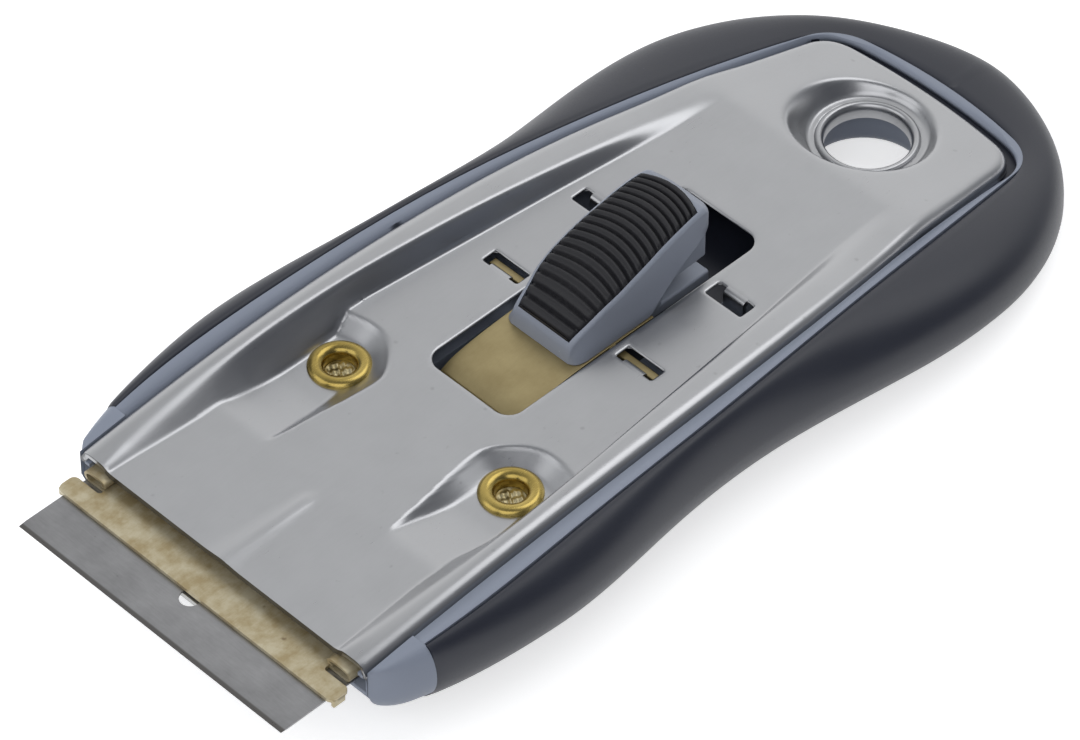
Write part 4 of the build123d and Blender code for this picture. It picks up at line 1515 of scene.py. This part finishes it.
    def build(self, finishes: Finishes) -> None:
        """Build the sheet with its cut-outs, its turned edge, tongues and hole ring.

        Args:
            finishes: All finishes.
        """
        loops = self.loops()
        outline = divided(loops[0], 0.6)
        cuts = [divided(cut, 0.5) for cut in self.cuts()]
        closed = [np.array([*ring, ring[0]]) for ring in cuts]
        spots = self.lattice()
        for ring in closed:
            spots = spots[(gap(spots, ring) > 0.32) & ~contains(ring, spots)]
        inner = np.array([*loops[-1], loops[-1][0]])
        spots = spots[contains(inner, spots) & (gap(spots, inner) > 0.12)]
        bands = [p for loop in loops[1:] for p in loop if p[0] > FRONT_X + 0.05]
        burrs = [tuple(p) for cut in cuts for out in (0.09, 0.22) for p in self.grown(np.asarray(cut), out)]
        flat, kept = self.triangles(outline, cuts, [*spots, *bands, *burrs])
        z = self.height(flat[:, 0], flat[:, 1])
        for ring in closed:
            z -= 0.1 * np.maximum(0.0, 1.0 - gap(flat, ring) / 0.2) ** 2
        sheet = Piece("top_plate", "handle")
        sheet.add([(x, y, above(h)) for (x, y), h in zip(flat, z)], kept)
        made = sheet.build(finishes[Tone.PLATE], 60.0, 0.001)
        self.thicken(made)
        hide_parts("top_plate")
        self.ring(finishes)
        self.tongues(finishes)

    @staticmethod
    def triangles(
        outline: Table, cuts: Sequence[Table], inside: Sequence[Sequence[float]]
    ) -> tuple[np.ndarray, list[Sequence[int]]]:
        """Divide the plan into triangles.

        Args:
            outline: The outer outline.
            cuts: The outlines of what is cut out.
            inside: Further points.

        Returns:
            Plan points and the faces that lie on the sheet.
        """
        plan: list[Vector] = []
        edges: list[tuple[int, int]] = []
        for ring in (outline, *cuts):
            start = len(plan)
            plan += [Vector(p) for p in ring]
            edges += [(start + i, start + (i + 1) % len(ring)) for i in range(len(ring))]
        plan += [Vector(p) for p in inside]
        points, _, faces, _, _, _ = geometry.delaunay_2d_cdt(plan, edges, [], 1, 1e-4)
        flat = np.array([(p.x, p.y) for p in points])
        centres = np.array([flat[list(face)].mean(axis=0) for face in faces])
        solid = contains(np.asarray(outline), centres)
        for ring in cuts:
            solid &= ~contains(np.asarray(ring), centres)
        return flat, [face for face, whole in zip(faces, solid) if whole]

    @staticmethod
    def grown(ring: np.ndarray, out: float) -> np.ndarray:
        """Return a closed outline moved outwards from its middle.

        Args:
            ring: The outline's points.
            out: How far.

        Returns:
            The moved points.
        """
        forward = np.roll(ring, -1, axis=0) - np.roll(ring, 1, axis=0)
        forward /= np.linalg.norm(forward, axis=1)[:, None]
        normal = np.column_stack([forward[:, 1], -forward[:, 0]])
        flip = np.sign(((ring - ring.mean(axis=0)) * normal).sum(axis=1).mean())
        return ring + normal * out * flip

    def thicken(self, piece: bpy.types.Object) -> None:
        """Turn the outer edge down and give the sheet its thickness.

        Args:
            piece: The plate.
        """
        mesh = bmesh.new()
        mesh.from_mesh(piece.data)
        open_edges = [edge for edge in mesh.edges if len(edge.link_faces) == 1]
        ends = [edge.verts for edge in open_edges]
        middles = np.array([tuple(((first.co + last.co) / 2.0 / MM).xy) for first, last in ends])
        near = gap(np.column_stack([middles[:, 0], np.abs(middles[:, 1])]), self.side(0.0, 190))
        turned = (near < 0.1) & (middles[:, 0] > FRONT_X + 0.005)
        rim = [edge for edge, outer in zip(open_edges, turned) if outer]
        made = bmesh.ops.extrude_edge_only(mesh, edges=rim)
        for vert in (item for item in made["geom"] if isinstance(item, bmesh.types.BMVert)):
            vert.co.z = (above(float(rim_height(vert.co.x / MM))) - self.hem) * MM
        bmesh.ops.recalc_face_normals(mesh, faces=mesh.faces)
        if sum(1 if face.normal.z > 0 else -1 for face in mesh.faces) < 0:
            bmesh.ops.reverse_faces(mesh, faces=mesh.faces)
        for face in mesh.faces:
            face.smooth = True
        mesh.to_mesh(piece.data)
        mesh.free()
        shell = piece.modifiers.new("sheet", "SOLIDIFY")
        shell.thickness = self.thickness * MM
        shell.offset = -1.0
        shell.use_even_offset = True

    def ring(self, finishes: Finishes) -> None:
        """Build the raised ring and collar of the hanging hole.

        Args:
            finishes: All finishes.
        """
        piece = Piece("hole_ring", "handle")
        piece.turned([(r, above(z)) for r, z in self.ring_profile], (HOLE_X, 0.0), 96)
        piece.build(finishes[Tone.PLATE], 50.0)

    def tongues(self, finishes: Finishes) -> None:
        """Build the four tongues bent down at the slots.

        Args:
            finishes: All finishes.
        """
        middle, half = 0.5 * sum(self.slot_y), 1.5
        for place, end, way in ((self.slots[0], "front", 1.0), (self.slots[3], "rear", -1.0)):
            for side, sign in SIDES:
                piece = Piece(f"tongue_{end}_{side}", "handle")
                bend = [(behind(place) + way * d, above(h)) for d, h in self.tongue_bend]
                piece.profile(bend, half, sign * middle)
                made = soften(piece.build(finishes[Tone.PLATE], 40.0), 0.08, 2, 50.0)


def dressed_copy(
    node: str, body: str, finish: bpy.types.Material, bevel: float, angle: float
) -> bpy.types.Object:
    """Stand a softened copy of a CAD node in for it.

    Args:
        node: The CAD node, whose material slot has the same name.
        body: The body that it rides on.
        finish: Its material.
        bevel: Edge rounding in millimetres.
        angle: Only edges over this angle in degrees are rounded.

    Returns:
        The new piece.
    """
    mesh = bpy.data.objects[node].data.copy()
    made = bmesh.new()
    made.from_mesh(mesh)
    bmesh.ops.remove_doubles(made, verts=made.verts, dist=0.002 * MM)
    bmesh.ops.dissolve_limit(made, angle_limit=math.radians(0.6), verts=made.verts, edges=made.edges)
    shade(made, angle)
    made.to_mesh(mesh)
    made.free()
    mesh.materials.clear()
    mesh.materials.append(finish)
    piece = soften(placed(f"{node}_dressed", mesh), bevel, 2, angle)
    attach(piece, body)
    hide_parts(node)
    LOG.info("dressed %s", node)
    return piece


def repaint(node: str, finish: bpy.types.Material) -> None:
    """Give a CAD node a better material.

    Args:
        node: The CAD node.
        finish: Its material.
    """
    piece = bpy.data.objects[node]
    if not piece.material_slots:
        piece.data.materials.append(finish)
    for slot in piece.material_slots:
        slot.material = finish
    LOG.info("painted %s", node)


@dataclass
class Rivets:
    """The two tubular rivets, each a rolled ring round a rough flattened core."""

    profile: Pairs = (
        (0.0, -2.9), (1.5, -2.9), (1.68, -2.5), (1.72, -1.8), (1.82, -1.38), (2.05, -1.08), (2.42, -0.92),
        (2.7, -0.87), (3.0, -0.92), (3.28, -1.06), (3.48, -1.28), (3.56, -1.5), (3.52, -1.72), (2.6, -1.75),
        (2.6, -5.6), (3.6, -5.6), (3.8, -5.8), (3.8, -6.2), (3.5, -6.4), (0.0, -6.4),
    )
    core_top: float = -2.45
    core_base: float = -2.85
    core_radius: float = 1.7
    lump_height: float = 0.16

    def build(self, finishes: Finishes) -> None:
        """Build both rivets.

        Args:
            finishes: All finishes.
        """
        top, base = above(self.core_top), above(self.core_base)
        flat = [(r, top) for r in np.linspace(0.15, self.core_radius - 0.05, 11)]
        for side, sign in SIDES:
            centre = (behind(RIVET_D), sign * RIVET_Y)
            piece = Piece(f"{side}_rivet_ring", "handle")
            piece.turned([(r, above(z)) for r, z in self.profile], centre, 56)
            made = piece.build(finishes[Tone.RIVET], 50.0)
            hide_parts(f"{side}_rivet")
            core = Piece(f"{side}_rivet_core", "handle")
            core.turned([(0.0, top), *flat, (self.core_radius, base), (0.0, base)], centre, 40)
            core.points = [(x, y, z + self.lump(x, y) if z == top else z) for x, y, z in core.points]
            core.build(finishes[Tone.CORE], 60.0)

    def lump(self, x: float, y: float) -> float:
        """Return the roughness of a rivet's flattened core at a plan place.

        Args:
            x: Plan place.
            y: Plan place.

        Returns:
            What is added to the height.
        """
        r = math.hypot(x - behind(RIVET_D), abs(y) - RIVET_Y)
        wave = math.sin(4.1 * x + 1.3 * y) * math.cos(3.7 * y - 0.8 * x) + 0.6 * math.sin(8.3 * x - 5.1 * y)
        return self.lump_height * wave * step_up((self.core_radius - 0.05 - r) / 0.5)


@dataclass
class Carriage:
    """The brass carrier with its blade.

    The bar is half of the sheet's outline with a corner radius at each point.
    """

    top: float = -1.8
    sheet: float = 0.5
    bar: tuple[tuple[float, float, float], ...] = (
        (-4.2, -21.0, 0.9), (-1.6, -21.0, 0.7), (-1.6, -17.1, 0.35), (7.5, -17.1, 0.3), (7.5, -6.0, 1.0),
        (12.0, -6.0, 0.0),
    )
    joggle: tuple[float, float] = (13.5, 0.6)
    tail_end: float = 36.7
    tail_half: float = 6.0
    ear: tuple[float, float, float, float] = (-3.9, -2.2, 20.5, 21.0)
    ear_heights: tuple[float, float] = (-3.0, -2.0)
    lip_line: Pairs = (
        (16.9, -2.05), (18.2, -2.06), (19.4, -2.1), (19.85, -2.0), (20.06, -1.65), (19.95, -1.2), (19.4, -0.95),
        (18.2, -0.86), (17.35, -0.92), (16.98, -1.2), (17.2, -1.48), (17.6, -1.45),
    )
    lip_sheet: float = 0.34
    lip_places: tuple[float, ...] = (-0.9, -0.85, 2.0, 4.8, 7.45, 7.5)

    def build(self, finishes: Finishes) -> None:
        """Build the carrier and dress the blade and the clamp.

        Args:
            finishes: All finishes.
        """
        self.carrier(finishes)
        self.tail(finishes)
        for side, sign in SIDES:
            self.lip(finishes, sign, side)
            self.fold(finishes, sign, side)
        dressed_copy("blade", "carriage", finishes[Tone.BLADE], 0.02, 60.0)
        for node in ("blade_clamp", "clamp_rivets"):
            repaint(node, finishes[Tone.HIDDEN])

    def carrier(self, finishes: Finishes) -> None:
        """Build the flat brass sheet with its bar and wings.

        Args:
            finishes: All finishes.
        """
        half = [(behind(d), y) for d, y, _ in self.bar]
        radii = [radius for _, _, radius in self.bar]
        outline = rounded(half + [(x, -y) for x, y in half[::-1]], radii + radii[::-1], 5)
        piece = Piece("blade_carrier_sheet", "carriage")
        piece.prism(outline, above(self.top - self.sheet), above(self.top))
        made = soften(piece.build(finishes[Tone.CARRIER], 30.0), 0.05, 2)
        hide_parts("blade_carrier")

    def tail(self, finishes: Finishes) -> None:
        """Build the joggled tail that carries the leaf.

        Args:
            finishes: All finishes.
        """
        low, high = above(self.top - self.sheet), above(self.top)
        start, (place, drop), end = behind(self.bar[-1][0]), self.joggle, behind(self.tail_end)
        bend = behind(place)
        piece = Piece("carrier_tail", "carriage")
        outline = [(start, high), (start, low), (bend, low - drop), (end, low - drop), (end, high - drop)]
        piece.profile([*outline, (bend, high - drop)], self.tail_half)
        soften(piece.build(finishes[Tone.CARRIER], 20.0), 0.08, 2)

    def fold(self, finishes: Finishes, sign: float, side: str) -> None:
        """Build the folded ear at one end of the bar.

        Args:
            finishes: All finishes.
            sign: 1 on the left and -1 on the right.
            side: The side's word in the piece's name.
        """
        front, rear, inner, outer = self.ear
        corners = [(front, inner), (rear, inner), (rear, outer), (front, outer)]
        low, high = self.ear_heights
        piece = Piece(f"ear_{side}", "carriage")
        piece.prism(rounded([(behind(d), sign * y) for d, y in corners], 0.15, 3), above(low), above(high))
        soften(piece.build(finishes[Tone.CARRIER]), 0.1, 2)

    def lip(self, finishes: Finishes, sign: float, side: str) -> None:
        """Build one wing's lip, rolled up and inwards.

        Args:
            finishes: All finishes.
            sign: 1 on the left and -1 on the right.
            side: The side's word in the piece's name.
        """
        profile = open_strip(curve_through(self.lip_line, 60), self.lip_sheet)
        piece = Piece(f"lip_{side}", "carriage")
        piece.slab([np.array([(behind(d), sign * y, above(z)) for y, z in profile]) for d in self.lip_places])
        piece.build(finishes[Tone.CARRIER], 40.0)


@dataclass
class Button:
    """The thumb button with its spring leaf.

    A row of pad_edge holds a distance behind the plate's front edge, the pad's half width there, and
    the height of its edge. The cap lies between the tables lower and top.
    """

    pad_edge: tuple[tuple[float, float, float], ...] = (
        (46.6, 3.8, 1.76), (48.8, 4.25, 3.2), (50.5, 4.6, 4.37), (53.4, 4.85, 5.5), (56.5, 4.8, 6.55),
        (59.5, 4.6, 7.33), (62.3, 4.45, 7.85), (65.4, 4.2, 8.25), (67.5, 4.0, 8.45),
    )
    top: Pairs = (
        (45.95, -0.6), (46.0, -0.1), (46.1, 0.6), (46.3, 1.25), (46.6, 1.66), (48.8, 3.12), (50.5, 4.25),
        (53.4, 5.42), (56.5, 6.45), (59.5, 7.25), (62.3, 7.88), (65.4, 8.25), (66.2, 8.2), (66.7, 7.95),
        (67.3, 7.4), (67.9, 6.9), (68.3, 6.45), (68.5, 6.1),
    )
    lower: Pairs = (
        (45.95, -0.9), (57.1, -0.9), (58.6, 0.55), (60.3, 1.95), (62.0, 3.2), (63.1, 3.85), (64.6, 4.4),
        (66.5, 4.95), (68.5, 5.6),
    )
    width: Pairs = (
        (45.95, 4.4), (46.2, 4.95), (46.8, 5.35), (47.7, 5.5), (57.0, 5.5), (63.0, 5.35), (65.4, 5.0),
        (66.5, 4.65), (67.3, 4.1), (68.0, 3.1), (68.5, 1.9),
    )
    stem: Pairs = (
        (50.0, -0.95), (57.7, -0.95), (57.7, -2.6), (67.0, -2.6), (67.0, -1.1), (59.7, -1.1), (59.7, 1.2),
        (66.4, 1.55), (66.4, 5.3), (63.0, 4.5), (57.5, 0.6), (50.0, 0.0),
    )
    stem_half: float = 4.75
    rim: float = 0.42
    turn: float = 0.6
    foot: float = 0.12
    pocket_play: float = 0.06
    pocket_depth: float = 0.9
    pad_rear: float = 65.35
    pad_bow: float = 1.05
    pad_depth: float = 0.85
    pad_middle: float = 56.5
    pad_lift: tuple[float, float] = (0.3, 0.2)
    ribs: int = 18
    rib_steps: int = 12
    rib_crowding: float = 1.12
    groove_depth: float = 0.42
    groove_share: float = 0.17
    leaf_line: Pairs = (
        (37.0, -2.4), (37.7, -2.05), (38.8, -1.7), (40.5, -1.4), (43.0, -1.12), (46.3, -0.92), (57.5, -0.92),
    )
    leaf_sheet: float = 0.5
    leaf_half: float = 5.7
    bar: tuple[float, float, float, float] = (50.75, 51.75, -2.2, -0.9)
    bar_half: float = 12.6

    def build(self, finishes: Finishes) -> None:
        """Build the button's pieces.

        Args:
            finishes: All finishes.
        """
        self.body(finishes)
        self.pad(finishes)
        self.leaf(finishes)
        repaint("button_clip", finishes[Tone.HIDDEN])

    def body(self, finishes: Finishes) -> None:
        """Build the grey cap, and its stem and foot.

        Args:
            finishes: All finishes.
        """
        front = (45.95, 45.98, 46.04, 46.14, 46.3, 46.6)
        rear = (65.7, 66.3, 66.8, 67.2, 67.6, 67.9, 68.15, 68.35, 68.5)
        piece = Piece("thumb_button_body", "button")
        piece.tube([self.row(d) for d in (*front, *np.linspace(47.2, 65.0, 32), *rear)])
        made = piece.build(finishes[Tone.BUTTON], 45.0)
        pocket = Piece("pocket_cutter", "button")
        plan = self.pad_plan(self.pocket_play)
        pocket.prism(plan, 0.0, 9.0, lambda x, y: above(self.pad_height(x - FRONT_X)) - self.pocket_depth)
        sunk_by(made, pocket.build(finishes[Tone.BUTTON]))
        soften(made, 0.1, 2, 60.0)
        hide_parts("thumb_button")
        stem = Piece("thumb_button_stem", "button")
        stem.profile([(behind(d), above(h)) for d, h in self.stem], self.stem_half)
        soften(stem.build(finishes[Tone.BUTTON], 30.0), 0.3, 3, 40.0)

    def row(self, d: float) -> np.ndarray:
        """Return the cap's closed section.

        Args:
            d: Distance behind the plate's front edge.

        Returns:
            Points in space.
        """
        top, low, wide = along(self.top, d), along(self.lower, d), along(self.width, d)
        narrow = min(wide, along(column(self.pad_edge, 1), d) + self.rim)
        tall = max(0.05, top - low)
        turn = min(self.turn, 0.42 * tall)
        lean = wide + (narrow - wide) * (tall - turn) / tall
        foot = self.foot
        half = [(wide * 0.5, low), (wide - foot, low), (wide, low + min(foot, 0.2 * tall))]
        half += [(wide + (lean - wide) * k, low + (tall - turn) * k) for k in (0.35, 0.7, 1.0)]
        for angle in np.linspace(0.0, 0.5 * math.pi, 7)[1:]:
            half.append((lean - turn * (1.0 - math.cos(angle)), top - turn + turn * math.sin(angle)))
        half.append((0.5 * (lean - turn), top))
        loop = half + [(-y, z) for y, z in half[::-1]]
        return np.array([(behind(d), y, above(z)) for y, z in loop])

    def pad_height(self, d: float) -> float:
        """Return the height of the pad's edge line above the floor."""
        return along(column(self.pad_edge, 2), d)

    def pad_place(self, share: float, across: float) -> tuple[float, float]:
        """Return a plan place on the pad.

        Args:
            share: 0 at the front to 1 at the rear.
            across: -1 at the right edge to 1 at the left.

        Returns:
            Distance behind the plate's front edge, and y.
        """
        start = self.pad_edge[0][0]
        edge = start + (self.pad_rear - start) * share
        wide = along(column(self.pad_edge, 1), edge)
        bow = self.pad_bow * step_up(share * 2.2)
        return edge + bow * (1.0 - across * across), wide * across

    def pad_plan(self, grow: float) -> list[tuple[float, float]]:
        """Return the pad's plan outline, a little larger.

        Args:
            grow: How much larger on each side.

        Returns:
            Plan points.
        """
        front = [self.pad_place(0.0, a) for a in (-1.0, 1.0)]
        far = [self.pad_place(k / 24.0, 1.0) for k in range(1, 25)]
        rear = [self.pad_place(1.0, a) for a in np.linspace(1.0, -1.0, 13)[1:-1]]
        near = [self.pad_place(k / 24.0, -1.0) for k in range(24, 0, -1)]
        made = []
        for d, y in (*front, *far, *rear, *near):
            made.append((behind(d + grow * np.sign(d - self.pad_middle)), y + grow * np.sign(y)))
        return made

    def pad(self, finishes: Finishes) -> None:
        """Build the ribbed pad, its ribs bowed to the rear, with a rounded groove between each two.

        Args:
            finishes: All finishes.
        """
        piece = Piece("thumb_pad_ribs", "button")
        piece.slab([self.pad_row(k) for k in range(self.ribs * self.rib_steps + 1)])
        made = piece.build(finishes[Tone.PAD], 60.0)
        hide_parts("thumb_pad")

    def pad_row(self, index: int) -> np.ndarray:
        """Return one row of the pad, across its top and back under it.

        Args:
            index: The row's number from the front.

        Returns:
            Points in space.
        """
        count = self.ribs * self.rib_steps
        share = 1.0 - (1.0 - index / count) ** self.rib_crowding
        phase = index % self.rib_steps / self.rib_steps
        groove = math.exp(-((min(phase, 1.0 - phase) / self.groove_share) ** 2))
        if index in (0, count):
            groove = 0.5
        base, crown = self.pad_lift
        upper, under = [], []
        for a in np.linspace(-1.0, 1.0, 25):
            d, y = self.pad_place(share, float(a))
            slope = (self.pad_height(d + 0.2) - self.pad_height(d - 0.2)) / 0.4
            out = np.array([-slope, 1.0]) / math.hypot(slope, 1.0)
            edge = 1.0 - step_up((1.0 - abs(a)) / 0.09)
            wave = 0.05 * math.sin(5.0 * y + 1.7 * index / self.rib_steps) * (1.0 - abs(a))
            lift = base + crown * (1.0 - a * a) - (self.groove_depth + wave) * groove - 0.3 * edge
            upper.append((behind(d + out[0] * lift), y, above(self.pad_height(d) + out[1] * lift)))
            under.append((behind(d), y, above(self.pad_height(d) - self.pad_depth)))
        return np.array(upper + under[::-1])

    def leaf(self, finishes: Finishes) -> None:
        """Build the spring leaf with its rolled bend and the lock bar.

        Args:
            finishes: All finishes.
        """
        path = curve_through(self.leaf_line, 30)
        lower = [(d, h - self.leaf_sheet) for d, h in path[::-1]]
        start, top = self.leaf_line[0]
        radius = 0.5 * self.leaf_sheet
        turns = np.linspace(0.0, math.pi, 9)[1:-1]
        bend = [(start - radius * math.sin(a), top - radius - radius * math.cos(a)) for a in turns]
        piece = Piece("spring_leaf_sheet", "button")
        piece.profile([(behind(d), above(h)) for d, h in (*path, *lower, *bend)], self.leaf_half)
        made = soften(piece.build(finishes[Tone.LEAF], 30.0), 0.06, 2, 50.0)
        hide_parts("spring_leaf")
        front, rear, low, high = (*map(behind, self.bar[:2]), *map(above, self.bar[2:]))
        bar = Piece("lock_bar", "button")
        bar.profile([(front, low), (rear, low), (rear, high), (front, high)], self.bar_half)
        soften(bar.build(finishes[Tone.LEAF]), 0.12, 2)


@dataclass
class Studio:
    """Camera, lights, floor and world.

    The camera's scale is in pixels of a frame that is frame_width wide, at a distance of one. Its
    target is across and up from the model's shifted origin, as the camera sees it.
    """

    scale: float = 6554.08
    frame_width: float = 1080.0
    sensor: float = 36.0
    azimuth: float = -0.777075380
    elevation: float = 0.796306355
    distance: float = 700.0
    target: tuple[float, float] = (-4.24829914, -6.47828658)
    shift: tuple[float, float, float] = (-2.05, 0.0, 12.0)
    lamps: tuple[tuple[str, tuple[float, float, float], float, float], ...] = (
        ("key", (0.5, -0.05, 0.87), 0.6, 1.9),
        ("fill", (-0.6, -0.45, 0.65), 0.8, 3.0),
        ("side", (-0.75, 0.35, 0.55), 0.8, 2.4),
    )
    floor_half: float = 2.0
    world_lean: tuple[float, float, float] = (0.45, 0.54, 0.18)
    world_lift: float = 0.3
    world_stops: tuple[tuple[float, Colour], ...] = (
        (0.0, (0.11, 0.115, 0.13)), (0.26, (0.17, 0.175, 0.19)), (0.6, (0.36, 0.37, 0.385)),
        (0.9, (0.66, 0.665, 0.67)), (1.0, (0.95, 0.95, 0.95)),
    )

    def build(self) -> None:
        """Set up everything that isn't the object."""
        self.camera()
        self.floor()
        self.world()
        for name, place, size, power in self.lamps:
            self.lamp(name, place, size, power)
        bpy.context.scene.view_settings.view_transform = "Standard"

    def camera(self) -> None:
        """Place the camera at the photograph's angle."""
        az, el = self.azimuth, self.elevation
        back = np.array([math.sin(az) * math.cos(el), -math.cos(az) * math.cos(el), math.sin(el)])
        right = np.array([math.cos(az), math.sin(az), 0.0])
        up = np.cross(back, right)
        place = right * self.target[0] + up * self.target[1] + back * self.distance + np.array(self.shift)
        data = bpy.data.cameras.new("camera")
        data.sensor_width = self.sensor
        data.sensor_fit = "HORIZONTAL"
        data.lens = self.sensor * self.scale / self.frame_width
        data.clip_start, data.clip_end = 0.05, 20.0
        camera = placed("camera", data)
        camera.location = Vector(place * MM)
        camera.rotation_euler = Vector(-back).to_track_quat("-Z", "Y").to_euler()
        bpy.context.scene.camera = camera

    def lamp(self, name: str, place: tuple[float, float, float], size: float, power: float) -> None:
        """Add a soft square lamp that points at the object.

        Args:
            name: Its name.
            place: Where it hangs, in metres.
            size: Length of a side in metres.
            power: Power in watts.
        """
        data = bpy.data.lights.new(name, "AREA")
        data.size = size
        data.energy = power
        lamp = placed(name, data)
        lamp.location = place
        lamp.rotation_euler = (-Vector(place)).to_track_quat("-Z", "Y").to_euler()

    def floor(self) -> None:
        """Lay a pale floor that reads as white paper to the camera and in reflections."""
        half = self.floor_half
        corners = [(-half, -half, 0.0), (half, -half, 0.0), (half, half, 0.0), (-half, half, 0.0)]
        mesh = bpy.data.meshes.new("floor")
        mesh.from_pydata(corners, [], [(0, 1, 2, 3)])
        paint = Paint(bpy.data.materials.new("floor_paper"))
        seen = self.seen(paint)
        diffuse = paint.node("ShaderNodeBsdfDiffuse", {}, {"Color": (0.86, 0.86, 0.86)})
        glow = paint.node("ShaderNodeEmission", {}, {"Color": (1.0, 1.0, 1.0), "Strength": 0.6})
        both = paint.node("ShaderNodeAddShader", {}, {0: diffuse, 1: glow})
        mixed = paint.node("ShaderNodeMixShader", {}, {0: seen, 1: diffuse, 2: both})
        paint.close("ShaderNodeOutputMaterial", mixed)
        mesh.materials.append(paint.owner)
        placed("floor", mesh)

    @staticmethod
    def seen(paint: Paint) -> Socket:
        """Return 1 for camera, glossy and transmission rays.

        Args:
            paint: The material under construction.

        Returns:
            The wrapped value.
        """
        outputs = ("Is Camera Ray", "Is Glossy Ray", "Is Transmission Ray")
        camera, glossy, through = (paint.node("ShaderNodeLightPath", {}, {}, output) for output in outputs)
        return camera.larger(glossy).larger(through)

    def world(self) -> None:
        """Make the studio's soft surroundings, pale above and darker low down."""
        world = bpy.data.worlds.new("studio")
        world.use_nodes = True
        bpy.context.scene.world = world
        paint = Paint(world)
        direction = paint.node("ShaderNodeTexCoord", {}, {}, "Generated")
        x, y, z = (paint.axis(direction, name) * lean for name, lean in zip("XYZ", self.world_lean))
        share = (x + y + z + self.world_lift).clipped()
        colour = paint.node("ShaderNodeValToRGB", {"stops": self.world_stops}, {0: share})
        camera = paint.node("ShaderNodeLightPath", {}, {}, "Is Camera Ray")
        soft = paint.node("ShaderNodeBackground", {}, {"Color": colour, "Strength": 1.25})
        white = paint.node("ShaderNodeBackground", {}, {"Color": (1.0, 1.0, 1.0), "Strength": 1.0})
        mixed = paint.node("ShaderNodeMixShader", {}, {0: camera, 1: soft, 2: white})
        paint.close("ShaderNodeOutputWorld", mixed)


def main() -> None:
    """Load the frame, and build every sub-assembly and the studio."""
    logging.basicConfig(level=logging.INFO, format="%(message)s")
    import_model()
    finishes = Finishes()
    form = HandleForm()
    Grip(form).build(finishes)
    frame = dressed_copy("handle_frame", "handle", finishes[Tone.FRAME], 0.25, 40.0)
    plate = Plate()
    RimGroove().cut(frame, plate.side(0.0, 90), finishes)
    Noses(form).build(finishes, frame)
    plate.build(finishes)
    Rivets().build(finishes)
    Carriage().build(finishes)
    Button().build(finishes)
    Studio().build()


if __name__ == "__main__":
    main()
